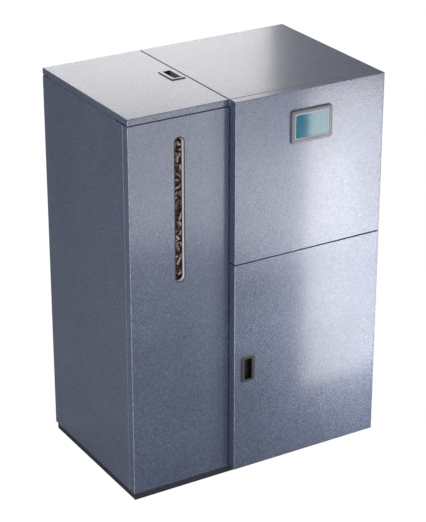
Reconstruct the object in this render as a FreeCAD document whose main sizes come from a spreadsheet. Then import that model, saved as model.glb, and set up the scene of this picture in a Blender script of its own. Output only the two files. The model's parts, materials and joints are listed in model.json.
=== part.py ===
import FreeCAD, Part
import os
import re
import Sketcher
from FreeCAD import Placement, Rotation, Vector

# Pellet boiler with a built-in hopper, in millimetres. The row frame has +Z up and the front towards -Y.
# Places are written in cabinet terms: x from the left side, y from the hopper's front plane, z from the floor.

SIZES = {
    # Casing
    "hopper_width": 350,
    "boiler_width": 550,
    "cabinet_depth": 558,
    "cabinet_height": 1300,
    "sheet": 1.5,
    "edge_radius": 2,
    "panel_gap": 3,
    "cover_thickness": 20,
    "lid_gap": 4,
    "front_return": 30,
    "side_seam": 1,
    # Plinth and feet
    "plinth_height": 28,
    "plinth_setback": 5,
    "base_sheet": 3,
    "floor_gap": 3,
    "foot_radius": 20,
    "foot_pad": 8,
    "foot_stem_radius": 6,
    "foot_inset": 55,
    # Doors and their lift-off hinges
    "door_thickness": 34,
    "door_gap": 3,
    "door_split": 761.5,
    "liner_inset": 3.5,
    "hinge_radius": 5,
    "hinge_stand": 0.4,
    "hinge_pin_radius": 3,
    "hinge_length": 70,
    "hinge_leaf": 26,
    "hinge_sheet": 2,
    "hinge_inset": 90,
    "magnet_width": 25,
    "magnet_length": 60,
    "magnet_inset": 12,
    # Lid hinge and seal
    "lid_pin_radius": 0.8,
    "lid_leaf_sheet": 1,
    "lid_leaf_height": 15,
    "lid_hinge_inset": 40,
    "seal_width": 8,
    "seal_inset": 3,
    # Clearances: turning fits and free gaps between neighbours
    "running_fit": 0.06,
    "free_gap": 0.3,
    # Slot window
    "slot_width": 31,
    "slot_length": 474,
    "slot_drop": 325,
    "gasket_lip": 3,
    "gasket_proud": 0.5,
    "trim_wall": 2,
    "trim_depth": 11,
    "pane_thickness": 3,
    "pane_margin": 7,
    # Display
    "bezel_width": 150,
    "bezel_height": 108,
    "bezel_proud": 6.5,
    "bezel_corner": 6,
    "bezel_drop": 115.5,
    "screen_width": 118,
    "screen_height": 76,
    "screen_corner": 5,
    "screen_drop": 3.5,
    "screen_sunk": 1.5,
    "housing_margin": 6,
    # Flush pulls
    "pull_width": 50,
    "pull_length": 88,
    "pull_open_width": 27,
    "pull_open_length": 72,
    "pull_proud": 3,
    "pull_depth": 13,
    "pull_wall": 2,
    "pull_corner": 3,
    "pull_edge": 1,
    "door_pull_inset": 50.5,
    "door_pull_middle": 389,
    "lid_pull_inset": 34.5,
    "lid_pull_back": 285,
    # Pellet bin
    "bin_side_gap": 15,
    "bin_rear_gap": 18,
    "bin_sheet": 2,
    "knee_drop": 118,
    "neck_clear": 12,
    "outlet_left": 120,
    "rim_drop": 8,
    "pellet_headroom": 43,
    "pellet_clear": 1.5,
    # Auger
    "auger_height": 250,
    "tube_radius": 38,
    "tube_wall": 3,
    "tube_lead": 6,
    "tube_cut_rise": 20,
    "tube_entry": 12,
    "auger_flange_radius": 50,
    "auger_flange": 4,
    "flight_clearance": 3,
    "flight_pitch": 50,
    "flight_thickness": 3,
    "auger_shaft_radius": 10,
    "gearbox_side": 80,
    "gearbox_length": 48,
    "motor_radius": 30,
    "motor_length": 44,
    # Boiler vessel
    "vessel_width": 430,
    "vessel_front": 50,
    "vessel_lift": 12,
    "rear_space": 78,
    "head_room": 220,
    "vessel_wall": 4,
    "front_plate": 8,
    "jacket": 30,
    "rear_jacket": 40,
    "fire_wall": 5,
    "firebox_floor": 6,
    "firebox_top": 700,
    "fire_side": 20,
    "fire_sill": 39,
    "fire_opening_top": 620,
    "ash_side": 8,
    "ash_headroom": 7,
    "ash_opening_clear": 19,
    "rail_width": 30,
    "rail_inset": 30,
    "insulation": 25,
    "insulation_clear": 8,
    # Smoke tubes and their cleaning gear
    "smoke_tube_radius": 30,
    "smoke_tube_wall": 3,
    "smoke_tube_pitch": 90,
    "smoke_tube_back": 80,
    "strip_width": 44,
    "strip_thickness": 2,
    "strip_clear": 24,
    "rack_sheet": 4,
    "rack_lift": 4,
    "rack_margin": 25,
    "rod_radius": 6,
    "rod_length": 160,
    "rack_travel": 30,
    "actuator_side": 70,
    "actuator_roof": 3,
    # Smoke box, draught fan and flue
    "smoke_box_inset": 20,
    "smoke_box_front": 40,
    "smoke_box_rear_gap": 10,
    "smoke_box_sheet": 3,
    "fan_back": 110,
    "fan_radius": 70,
    "fan_height": 40,
    "fan_plate": 2,
    "fan_hub_radius": 12,
    "fan_blade": 2,
    "fan_below_box_top": 20,
    "fan_shaft_radius": 5,
    "fan_shaft_length": 60,
    "fan_motor_radius": 48,
    "fan_motor_height": 78,
    "fan_motor_lip": 8,
    "fan_motor_flange": 4,
    "flue_radius": 55,
    "flue_wall": 2,
    "flue_step": 1,
    "flue_reach": 60,
    "flue_flange": 4,
    "flue_lip": 4,
    "flue_margin": 1,
    "flue_room": 20,
    # Burner
    "burner_shift": 25,
    "burner_half": 72,
    "burner_wall": 6,
    "burner_height": 115,
    "burner_hole_radius": 1.8,
    "burner_hole_pitch": 24,
    "burner_hole_rise": 82,
    "duct_margin": 18,
    "duct_height": 48,
    "duct_sheet": 3,
    "air_pipe_radius": 22,
    "air_pipe_reach": 40,
    "igniter_radius": 5,
    "igniter_length": 66,
    # Fire door and ash pan
    "fire_door_lap": 20,
    "fire_door_thickness": 20,
    "rope_thickness": 4,
    "rope_width": 12,
    "board_thickness": 11,
    "board_margin": 10,
    "fire_hinge_out": 16,
    "fire_hinge_radius": 8,
    "fire_pin_radius": 4,
    "fire_knuckle": 30,
    "fire_hinge_inset": 60,
    "grip_width": 20,
    "grip_length": 90,
    "grip_reach": 17,
    "ash_rear_clear": 20,
    "ash_pan_wall": 2,
    "ash_lap": 8,
    "ash_front": 8,
    "ash_handle": 120,
    "ash_handle_reach": 18,
    "ash_handle_height": 14,
    "ash_handle_drop": 42,
    # Bulkhead behind the doors
    "service_left": 15,
    "service_right": 44,
    "service_foot": 10,
    "service_top": 20,
    "control_width": 240,
    "control_height": 180,
    "control_clear": 6,
    "control_proud": 2,
    # Water, cables and mains switch on the rear
    "pipe_inset": 60,
    "flow_drop": 60,
    "return_height": 120,
    "pipe_radius": 16.6,
    "pipe_step": 1.6,
    "pipe_bore": 12,
    "pipe_reach": 40,
    "pipe_room": 18,
    "rear_joint": 2,
    "gland_inset": 40,
    "gland_drop": 340,
    "gland_pitch": 45,
    "gland_nut_radius": 11,
    "gland_nut": 8,
    "gland_dome_radius": 9,
    "gland_dome": 14,
    "gland_thread_radius": 8,
    "gland_bore": 4,
    "switch_drop": 180,
    "switch_lip": 2,
    "switch_width": 22,
    "switch_length": 30,
    "switch_flange": 2.5,
    "switch_depth": 18,
    "rocker_width": 12.4,
    "rocker_half": 8.5,
    "rocker_waist": 6,
    "rocker_back": 4.2,
    "rocker_high": 5.5,
    "rocker_middle": 2.6,
    "rocker_low": 1.3,
    "rocker_pin_radius": 1.5,
    "rocker_slack": 2,
    "screw_head_radius": 4.5,
    "screw_head": 2.6,
    "screw_radius": 2,
    "screw_length": 8,
    "screw_inset": 12,
    "screw_end": 60,
}
BURNER_HOLE_STEPS = (-2, -1, 0, 1, 2)
FAN_BLADES = 10
SCREW_ROWS = 4
GLAND_COUNT = 2
LID_KNUCKLES = 5
TUBE_COLUMNS = (-1.5, -0.5, 0.5, 1.5)
TUBE_ROWS = (0, 1)

doc = FreeCAD.newDocument("pellet_boiler")
sheet = doc.addObject("Spreadsheet::Sheet", "Sizes")
for row, (alias, size) in enumerate(SIZES.items(), start=1):
    sheet.set(f"A{row}", alias)
    sheet.set(f"B{row}", str(size))
    sheet.setAlias(f"B{row}", alias)
doc.recompute()

# Named places, as formulas of the sizes
MIDDLE_Y = "cabinet_depth / 2"
WIDTH = "(hopper_width + boiler_width)"
COVER_FOOT = "(cabinet_height - cover_thickness)"
PANEL_TOP = f"({COVER_FOOT} - lid_gap)"
LID_RIGHT = "(hopper_width - panel_gap / 2)"
BOILER_LEFT = "(hopper_width + panel_gap / 2)"
INNER_LEFT = f"({BOILER_LEFT} + sheet)"
INNER_RIGHT = f"({WIDTH} - sheet)"
REAR = "cabinet_depth"
DOOR_WIDTH = "(boiler_width - panel_gap / 2)"
DOOR_DEPTH = "(door_thickness - door_gap)"
HINGE_X = f"({WIDTH} + hinge_radius + hinge_stand)"
HINGE_Y = "(-door_gap / 2)"
LID_AXIS_Z = f"({PANEL_TOP} + lid_gap / 2)"
TRIM_REAR = "(sheet + trim_depth)"
BIN_FRONT = f"({TRIM_REAR} + pane_thickness)"
BIN_REAR = "(cabinet_depth - bin_rear_gap)"
BIN_RIGHT = "(hopper_width - bin_side_gap)"
RIM = f"({PANEL_TOP} - rim_drop)"
SLOT_MIDDLE = "(cabinet_height - slot_drop)"
BEZEL_MIDDLE = "(cabinet_height - bezel_drop)"
KNEE = f"({SLOT_MIDDLE} - slot_length / 2 - knee_drop)"
PELLET_LEVEL = f"({RIM} - pellet_headroom)"
FLIGHT_RADIUS = "(tube_radius - tube_wall - flight_clearance)"
TUBE_START = "(outlet_left - bin_sheet - tube_lead)"
NECK_TOP = "(auger_height + tube_radius + neck_clear)"
OUTLET_Z = "(auger_height + tube_cut_rise)"
OUTLET_HALF = "(sqrt((tube_radius - tube_wall / 2)^2 - tube_cut_rise^2) - bin_sheet / 2)"
BOILER_MIDDLE = "(hopper_width + boiler_width / 2)"
VESSEL_LEFT = f"({BOILER_MIDDLE} - vessel_width / 2)"
VESSEL_RIGHT = f"({BOILER_MIDDLE} + vessel_width / 2)"
VESSEL_REAR = "(cabinet_depth - rear_space)"
VESSEL_TOP = f"({COVER_FOOT} - head_room)"
VESSEL_FOOT = "(plinth_height + vessel_lift)"
FIRE_LEFT = f"({VESSEL_LEFT} + jacket)"
FIRE_RIGHT = f"({VESSEL_RIGHT} - jacket)"
FIRE_FRONT = "(vessel_front + front_plate)"
FIRE_REAR = f"({VESSEL_REAR} - rear_jacket)"
FIRE_FLOOR = f"({VESSEL_FOOT} + firebox_floor)"
BURNER_X = f"({BOILER_MIDDLE} + burner_shift)"
SMOKE_FRONT = "(vessel_front + smoke_box_front)"
SMOKE_REAR = f"({VESSEL_REAR} - smoke_box_rear_gap)"
FLUE_Z = f"({VESSEL_TOP} + flue_radius + flue_lip + flue_margin)"
SMOKE_TOP = f"({FLUE_Z} + flue_radius + flue_lip + flue_margin)"
TUBE_Y = "(vessel_front + smoke_tube_back)"
RACK_Y = f"({TUBE_Y} + smoke_tube_pitch / 2)"
RACK_FOOT = f"({VESSEL_TOP} + rack_lift)"
FAN_Y = f"({SMOKE_REAR} - fan_back)"
BURNER_FOOT = "(auger_height - tube_radius - free_gap)"
DUCT_FOOT = f"({BURNER_FOOT} - duct_height)"
AIR_Z = f"({BURNER_FOOT} - duct_height / 2)"
ASH_TOP = f"({DUCT_FOOT} - ash_headroom)"
ASH_OPENING_TOP = f"({ASH_TOP} + ash_opening_clear)"
ASH_HALF = f"({FIRE_RIGHT} - {BOILER_MIDDLE} - ash_side)"
FIRE_HALF = f"({FIRE_RIGHT} - {BOILER_MIDDLE} - fire_side)"
FIRE_OPENING_X = (f"({BOILER_MIDDLE} - {FIRE_HALF})", f"({BOILER_MIDDLE} + {FIRE_HALF})")
FIRE_OPENING_FOOT = f"({ASH_OPENING_TOP} + fire_sill)"
FIRE_DOOR_FOOT = f"({FIRE_OPENING_FOOT} - fire_door_lap)"
FIRE_DOOR_TOP = "(fire_opening_top + fire_door_lap)"
ROPE_FRONT = "(vessel_front - rope_thickness)"
FIRE_DOOR_BACK = f"({ROPE_FRONT} - free_gap)"
FIRE_DOOR_FRONT = f"({FIRE_DOOR_BACK} - fire_door_thickness)"
FIRE_DOOR_LEFT = f"({FIRE_OPENING_X[0]} - fire_door_lap)"
FIRE_DOOR_RIGHT = f"({FIRE_OPENING_X[1]} + fire_door_lap)"
FIRE_HINGE_X = f"({FIRE_DOOR_RIGHT} + fire_hinge_out)"
FIRE_HINGE_Y = f"({FIRE_DOOR_FRONT} + fire_hinge_radius)"
PIPE_X = f"({VESSEL_LEFT} + pipe_inset)"
FLOW_Z = f"({VESSEL_TOP} - flow_drop)"
GLAND_X = f"({WIDTH} - gland_inset)"
SWITCH_HEIGHT = "(cabinet_height - switch_drop)"

# The row's origin is the middle of the whole object's box, on the floor
SHIFT = {
    "x": f"-({HINGE_X} + hinge_radius) / 2",
    "y": "-(cabinet_depth + flue_reach - door_thickness - bezel_proud) / 2",
    "z": "0",
}
TURN_TO_X = Rotation(Vector(0, 1, 0), 90)
TURN_TO_Y = Rotation(Vector(1, 0, 0), -90)
TURNS = {"x": TURN_TO_X, "y": TURN_TO_Y, "z": Rotation()}
WORD = re.compile(r"[a-z_]+")
TOUCH = 0.01
PARALLEL = 0.9
NODES = []


def spelled(formula):
    """A formula with each named size spelled as a cell of the sheet."""
    return WORD.sub(lambda word: f"Sizes.{word[0]}" if word[0] in SIZES else word[0], formula)


def worth(formula):
    """A formula's value in millimetres."""
    return float(sheet.evalExpression(spelled(formula)))


def bind(item, **formulas):
    """Ties properties of an object to formulas of the named sizes."""
    for name, formula in formulas.items():
        item.setExpression(name, spelled(formula))


def place(item, x, y, z):
    """Ties an object's place, given in cabinet terms, to the row's frame."""
    for axis, formula in zip("xyz", (x, y, z)):
        item.setExpression(f"Placement.Base.{axis}", spelled(f"{SHIFT[axis]} + ({formula})"))


def node(item, label):
    """Names an object as one piece of the boiler."""
    item.Label = label
    NODES.append(item)
    return item


def box(x, y, z):
    """A block between two planes on each axis."""
    made = doc.addObject("Part::Box", "block")
    bind(made, Length=f"({x[1]}) - ({x[0]})", Width=f"({y[1]}) - ({y[0]})", Height=f"({z[1]}) - ({z[0]})")
    place(made, x[0], y[0], z[0])
    return made


def rod(axis, radius, start, length):
    """A round bar from a start point along an axis."""
    made = doc.addObject("Part::Cylinder", "bar")
    made.Placement = Placement(Vector(), TURNS[axis])
    bind(made, Radius=radius, Height=length)
    place(made, *start)
    return made


def taper(low, high, lower, upper):
    """A hopper-shaped block from a lower to an upper rectangle, each given as left, right, front, rear."""
    made = doc.addObject("Part::Wedge", "taper")
    made.Placement = Placement(Vector(), Rotation(Vector(1, 0, 0), 90))
    bind(made, Ymax=f"({high}) - ({low})", Ymin="0")
    bind(made, Xmin=lower[0], Xmax=lower[1], Zmin=f"-({lower[3]})", Zmax=f"-({lower[2]})")
    bind(made, X2min=upper[0], X2max=upper[1], Z2min=f"-({upper[3]})", Z2max=f"-({upper[2]})")
    place(made, "0", "0", low)
    return made


def fuse(*items):
    made = doc.addObject("Part::MultiFuse", "joined")
    made.Shapes = list(items)
    return made


def cut(base, *tools):
    made = doc.addObject("Part::Cut", "cut")
    made.Base = base
    made.Tool = tools[0] if len(tools) == 1 else fuse(*tools)
    return made


def group(items):
    """Several loose solids of one kind."""
    made = doc.addObject("Part::Compound", "set")
    made.Links = list(items)
    return made


def body(x, y, z, axis="z"):
    made = doc.addObject("PartDesign::Body", "piece")
    made.Placement = Placement(Vector(), TURNS[axis])
    place(made, x, y, z)
    return made


def sketch(owner, plane, lift="0"):
    """An empty sketch on one of a body's own planes, lifted along that plane's normal."""
    made = owner.newObject("Sketcher::SketchObject", "sketch")
    made.AttachmentSupport = [(next(f for f in owner.Origin.OriginFeatures if f.Role == plane), "")]
    made.MapMode = "FlatFace"
    made.setExpression("AttachmentOffset.Base.z", spelled(lift))
    return made


def pin_down(drawn, geometry, vertex, point):
    """Holds one point of a sketch at a place given by formulas."""
    for kind, formula in zip(("DistanceX", "DistanceY"), point):
        rule = Sketcher.Constraint(kind, -1, 1, geometry, vertex, worth(formula))
        drawn.setExpression(f"Constraints[{drawn.addConstraint(rule)}]", spelled(formula))


def outline(drawn, points):
    """A closed outline of straight lines whose corners are given by formulas."""
    corners = [Vector(worth(x), worth(y), 0) for x, y in points]
    first = drawn.GeometryCount
    for start, end in zip(corners, corners[1:] + corners[:1]):
        drawn.addGeometry(Part.LineSegment(start, end))
    for index, point in enumerate(points):
        after = first + (index + 1) % len(points)
        drawn.addConstraint(Sketcher.Constraint("Coincident", first + index, 2, after, 1))
        pin_down(drawn, first + index, 1, point)
    return drawn


def rectangle(drawn, x, y):
    return outline(drawn, [(x[0], y[0]), (x[1], y[0]), (x[1], y[1]), (x[0], y[1])])


def pad(owner, drawn, length, reverse=False):
    made = owner.newObject("PartDesign::Pad", "pad")
    made.Profile = drawn
    made.Reversed = reverse
    bind(made, Length=length)
    doc.recompute()
    return made


def pocket(owner, drawn, length, reverse=False):
    """A cut from a sketch, which has to take something away."""
    before = owner.Shape.Volume
    made = owner.newObject("PartDesign::Pocket", "pocket")
    made.Profile = drawn
    made.Reversed = reverse
    bind(made, Length=length)
    doc.recompute()
    if owner.Shape.Volume >= before:
        raise RuntimeError(f"a pocket of {owner.Label} cuts nothing")
    return made


def soften(owner, chosen, radius):
    """Rounds the edges of a body that a test picks by their middle point and direction."""
    doc.recompute()
    base = owner.Tip
    names = []
    for index, edge in enumerate(base.Shape.Edges, start=1):
        middle = edge.valueAt((edge.FirstParameter + edge.LastParameter) / 2)
        along = edge.tangentAt((edge.FirstParameter + edge.LastParameter) / 2)
        if chosen(middle, along):
            names.append(f"Edge{index}")
    made = owner.newObject("PartDesign::Fillet", "round")
    made.Base = (base, names)
    bind(made, Radius=radius)
    doc.recompute()
    return made


def lathe(x, y, z, axis, profile):
    """A turned piece: an outline of radius and height turned about an axis through its place."""
    owner = body(x, y, z, axis)
    made = owner.newObject("PartDesign::Revolution", "turned")
    made.Profile = outline(sketch(owner, "XZ_Plane"), profile)
    made.ReferenceAxis = (made.Profile[0], ["V_Axis"])
    made.Angle = 360
    doc.recompute()
    return owner


def around(owner, feature, count):
    """Repeats a feature of a body evenly around its upright axis."""
    made = owner.newObject("PartDesign::PolarPattern", "ring_of")
    made.Originals = [feature]
    made.Axis = (next(f for f in owner.Origin.OriginFeatures if f.Role == "Z_Axis"), [""])
    made.Angle = 360
    made.Occurrences = count
    owner.Tip = made
    doc.recompute()
    return made


# Base plate, plinth and feet
BASE_X = ("plinth_setback", f"{WIDTH} - plinth_setback")
BASE_Y = ("plinth_setback", f"{REAR} - plinth_setback")
BASE_FOOT = "(plinth_height - base_sheet)"
node(box(BASE_X, BASE_Y, (BASE_FOOT, "plinth_height")), "base_plate")

SKIRT_Z = ("floor_gap", BASE_FOOT)
SKIRT_SIDE_Y = (f"{BASE_Y[0]} + base_sheet", f"{BASE_Y[1]} - base_sheet")
node(group([
    box(BASE_X, (BASE_Y[0], SKIRT_SIDE_Y[0]), SKIRT_Z),
    box(BASE_X, (SKIRT_SIDE_Y[1], BASE_Y[1]), SKIRT_Z),
    box((BASE_X[0], f"{BASE_X[0]} + base_sheet"), SKIRT_SIDE_Y, SKIRT_Z),
    box((f"{BASE_X[1]} - base_sheet", BASE_X[1]), SKIRT_SIDE_Y, SKIRT_Z),
]), "plinth_skirt")

FOOT_PROFILE = [
    ("0", "0"),
    ("foot_radius", "0"),
    ("foot_radius", "foot_pad"),
    ("foot_stem_radius", "foot_pad"),
    ("foot_stem_radius", BASE_FOOT),
    ("0", BASE_FOOT),
]
node(group([
    lathe(x, y, "0", "z", FOOT_PROFILE)
    for x in ("foot_inset", f"{WIDTH} - foot_inset")
    for y in ("foot_inset", f"{REAR} - foot_inset")
]), "levelling_feet")

# Sides, partition and rear panels
UPRIGHT = ("plinth_height", COVER_FOOT)
HOPPER_UPRIGHT = ("plinth_height", PANEL_TOP)
node(box(("0", "sheet"), ("front_return + side_seam", REAR), HOPPER_UPRIGHT), "left_side_panel")
node(box((INNER_RIGHT, WIDTH), ("0", REAR), UPRIGHT), "right_side_panel")
node(cut(
    box((BOILER_LEFT, INNER_LEFT), ("0", REAR), UPRIGHT),
    rod("x", "tube_radius + free_gap", (BOILER_LEFT, MIDDLE_Y, "auger_height"), "sheet"),
), "partition")

REAR_FACE = f"({REAR} - sheet)"
SCREW_SPAN = f"({PANEL_TOP} - plinth_height - 2 * screw_end)"
SCREW_HEIGHTS = [f"(plinth_height + screw_end + {SCREW_SPAN} * {step / (SCREW_ROWS - 1)})"
                 for step in range(SCREW_ROWS)]
HOPPER_SCREWS = [(x, z) for x in ("sheet + screw_inset", "hopper_width - screw_inset") for z in SCREW_HEIGHTS]
BOILER_SCREWS = [(x, z) for x in (f"{INNER_LEFT} + screw_inset", f"{INNER_RIGHT} - screw_inset")
                 for z in SCREW_HEIGHTS]


def rear_hole(x, z, radius):
    return rod("y", radius, (x, REAR_FACE, z), "sheet")


node(cut(
    box(("sheet", "hopper_width"), (REAR_FACE, REAR), HOPPER_UPRIGHT),
    *[rear_hole(x, z, "screw_radius") for x, z in HOPPER_SCREWS],
), "hopper_rear_panel")

GLAND_HEIGHTS = [f"(cabinet_height - gland_drop + gland_pitch * {step})" for step in range(GLAND_COUNT)]
SWITCH_X = (f"{GLAND_X} - switch_width / 2", f"{GLAND_X} + switch_width / 2")
SWITCH_Z = (f"{SWITCH_HEIGHT} - switch_length / 2", f"{SWITCH_HEIGHT} + switch_length / 2")
SWITCH_BODY_X = (f"{SWITCH_X[0]} + switch_lip", f"{SWITCH_X[1]} - switch_lip")
SWITCH_BODY_Z = (f"{SWITCH_Z[0]} + switch_lip", f"{SWITCH_Z[1]} - switch_lip")
REAR_SPLIT = f"((plinth_height + {COVER_FOOT}) / 2)"
LOWER_SHEET = ("plinth_height", f"{REAR_SPLIT} - rear_joint / 2")
UPPER_SHEET = (f"{REAR_SPLIT} + rear_joint / 2", COVER_FOOT)
LOWER_ROWS = SCREW_HEIGHTS[:SCREW_ROWS // 2]
node(group([
    cut(
        box((INNER_LEFT, INNER_RIGHT), (REAR_FACE, REAR), LOWER_SHEET),
        rear_hole(PIPE_X, "return_height", "pipe_radius + pipe_room"),
        rear_hole(BURNER_X, AIR_Z, "air_pipe_radius + pipe_room"),
        *[rear_hole(x, z, "screw_radius") for x, z in BOILER_SCREWS if z in LOWER_ROWS],
    ),
    cut(
        box((INNER_LEFT, INNER_RIGHT), (REAR_FACE, REAR), UPPER_SHEET),
        rear_hole(BOILER_MIDDLE, FLUE_Z, "flue_radius + flue_room"),
        rear_hole(PIPE_X, FLOW_Z, "pipe_radius + pipe_room"),
        *[rear_hole(GLAND_X, z, "gland_thread_radius") for z in GLAND_HEIGHTS],
        *[rear_hole(x, z, "screw_radius") for x, z in BOILER_SCREWS if z not in LOWER_ROWS],
        box(SWITCH_BODY_X, (REAR_FACE, REAR), SWITCH_BODY_Z),
    ),
]), "boiler_rear_panel")

SCREW_PROFILE = [
    ("0", "0"),
    ("screw_radius", "0"),
    ("screw_radius", "screw_length"),
    ("screw_head_radius", "screw_length"),
    ("screw_head_radius", "screw_length + screw_head / 2"),
    ("screw_radius", "screw_length + screw_head"),
    ("0", "screw_length + screw_head"),
]
node(group([
    lathe(x, f"{REAR} - screw_length", z, "y", SCREW_PROFILE) for x, z in HOPPER_SCREWS + BOILER_SCREWS
]), "panel_screws")


# Slot window in the hopper's front
SLOT_X = "hopper_width / 2"


def slot_block(width, start, depth):
    """A round-ended slot as a block from front to rear; its ends keep the slot's own centres."""
    run = "(slot_length - slot_width) / 2"
    low = f"{SLOT_MIDDLE} - {run}"
    high = f"{SLOT_MIDDLE} + {run}"
    half = f"({width}) / 2"
    return fuse(
        box((f"{SLOT_X} - {half}", f"{SLOT_X} + {half}"), (start, f"{start} + {depth}"), (low, high)),
        rod("y", half, (SLOT_X, start, low), depth),
        rod("y", half, (SLOT_X, start, high), depth),
    )


front = body("0", "0", "plinth_height")
outline(sketch(front, "XY_Plane"), [
    ("0", "0"),
    ("hopper_width", "0"),
    ("hopper_width", "front_return"),
    ("hopper_width - sheet", "front_return"),
    ("hopper_width - sheet", "sheet"),
    ("sheet", "sheet"),
    ("sheet", "front_return"),
    ("0", "front_return"),
])
pad(front, front.Group[-1], f"{PANEL_TOP} - plinth_height")
soften(front, lambda at, along: abs(along.z) > PARALLEL and at.y < TOUCH, "edge_radius")
GASKET_WIDTH = "slot_width + 2 * gasket_lip"
node(cut(front, slot_block(GASKET_WIDTH, "0", "sheet")), "hopper_front_panel")
GASKET_FRONT = "(-gasket_proud)"
GASKET_DEPTH = "(sheet + gasket_proud)"
node(cut(
    slot_block(GASKET_WIDTH, GASKET_FRONT, GASKET_DEPTH),
    slot_block("slot_width", GASKET_FRONT, GASKET_DEPTH),
), "window_gasket")
node(cut(
    slot_block("slot_width + 2 * trim_wall", "sheet", "trim_depth"),
    slot_block("slot_width", "sheet", "trim_depth"),
), "window_trim")
PANE_HALF = "(slot_width / 2 + pane_margin)"
PANE_RUN = "(slot_length / 2 + pane_margin)"
node(box(
    (f"{SLOT_X} - {PANE_HALF}", f"{SLOT_X} + {PANE_HALF}"),
    (TRIM_REAR, BIN_FRONT),
    (f"{SLOT_MIDDLE} - {PANE_RUN}", f"{SLOT_MIDDLE} + {PANE_RUN}"),
), "window_pane")


# Pellet bin with its rim, and the pellets in it
def bin_block(shrink, top, foot):
    """The bin's outer shape, drawn in all round by a formula, from the neck's foot to a top."""
    left = f"(bin_side_gap + {shrink})"
    right = f"({BIN_RIGHT} - {shrink})"
    near = f"({BIN_FRONT} + {shrink})"
    far = f"({BIN_REAR} - {shrink})"
    neck = (f"(outlet_left - bin_sheet + {shrink})", right,
            f"({MIDDLE_Y} - {OUTLET_HALF} - bin_sheet + {shrink})",
            f"({MIDDLE_Y} + {OUTLET_HALF} + bin_sheet - {shrink})")
    return fuse(
        box((left, right), (near, far), (KNEE, top)),
        taper(NECK_TOP, KNEE, neck, (left, right, near, far)),
        box(neck[:2], neck[2:], (foot, NECK_TOP)),
    )


MOUTH_X = ("(bin_side_gap + bin_sheet)", f"({BIN_RIGHT} - bin_sheet)")
MOUTH_Y = (f"({BIN_FRONT} + bin_sheet)", f"({BIN_REAR} - bin_sheet)")
node(cut(
    fuse(
        bin_block("0", RIM, OUTLET_Z),
        box(("sheet", "hopper_width - sheet"), ("sheet", REAR_FACE), (f"{RIM} - bin_sheet", RIM)),
    ),
    bin_block("bin_sheet", RIM, OUTLET_Z),
    slot_block("slot_width", BIN_FRONT, "bin_sheet"),
    rod("x", "tube_radius - tube_wall", (TUBE_START, MIDDLE_Y, "auger_height"), f"{BIN_RIGHT} - {TUBE_START}"),
), "hopper_bin")
PELLET_FOOT = f"(auger_height + {FLIGHT_RADIUS} + pellet_clear)"
node(fuse(
    bin_block("(bin_sheet + free_gap)", PELLET_LEVEL, PELLET_FOOT),
    slot_block("slot_width - 2 * free_gap", f"({BIN_FRONT} + free_gap)", "2 * bin_sheet"),
), "pellet_charge")


def ring(outer_x, outer_y, wall, z):
    """A rectangular frame lying flat."""
    return cut(
        box(outer_x, outer_y, z),
        box((f"{outer_x[0]} + {wall}", f"{outer_x[1]} - {wall}"),
            (f"{outer_y[0]} + {wall}", f"{outer_y[1]} - {wall}"), z),
    )


SEAL_OUT = "(seal_inset + seal_width)"
node(ring(
    (f"{MOUTH_X[0]} - {SEAL_OUT}", f"{MOUTH_X[1]} + {SEAL_OUT}"),
    (f"{MOUTH_Y[0]} - {SEAL_OUT}", f"{MOUTH_Y[1]} + {SEAL_OUT}"),
    "seal_width",
    (RIM, f"{COVER_FOOT} - free_gap"),
), "lid_seal")


# Covers and doors folded from sheet, open at the back
def tray(x, y, z, wide, deep, high):
    """A shallow tray lying face up at a place: its upper edges are rounded and it is open below."""
    owner = body(x, y, z)
    pad(owner, rectangle(sketch(owner, "XY_Plane"), ("0", wide), ("0", deep)), high)
    top = worth(high)
    soften(owner, lambda at, along: at.z > top - TOUCH, "edge_radius")
    inside = sketch(owner, "XY_Plane")
    rectangle(inside, ("sheet", f"{wide} - sheet"), ("sheet", f"{deep} - sheet"))
    pocket(owner, inside, f"{high} - sheet", reverse=True)
    return owner


def door(foot, top):
    """A door skin standing at its own foot: its front edges are rounded and it is open at the back."""
    owner = body(BOILER_LEFT, "-door_gap", foot)
    high = f"({top}) - ({foot})"
    pad(owner, rectangle(sketch(owner, "XZ_Plane"), ("0", DOOR_WIDTH), ("0", high)), DOOR_DEPTH)
    front_plane = -worth(DOOR_DEPTH)
    soften(owner, lambda at, along: at.y < front_plane + TOUCH, "edge_radius")
    inside = sketch(owner, "XZ_Plane")
    rectangle(inside, ("sheet", f"{DOOR_WIDTH} - sheet"), ("sheet", f"{high} - sheet"))
    pocket(owner, inside, f"{DOOR_DEPTH} - sheet", reverse=True)
    return owner


def door_liner(foot, top):
    """The sheet that closes a door's back, let in from its rim."""
    back = "(-door_gap - liner_inset)"
    return box((f"{BOILER_LEFT} + sheet", INNER_RIGHT), (f"{back} - sheet", back),
               (f"{foot} + sheet", f"{top} - sheet"))


node(tray(BOILER_LEFT, "0", COVER_FOOT, DOOR_WIDTH, "cabinet_depth", "cover_thickness"), "top_cover")


# Flush pulls: a proud rim round a finger cup
CUP_HALF_WIDE = "(pull_open_width / 2 + pull_wall)"
CUP_HALF_LONG = "(pull_open_length / 2 + pull_wall)"


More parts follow.
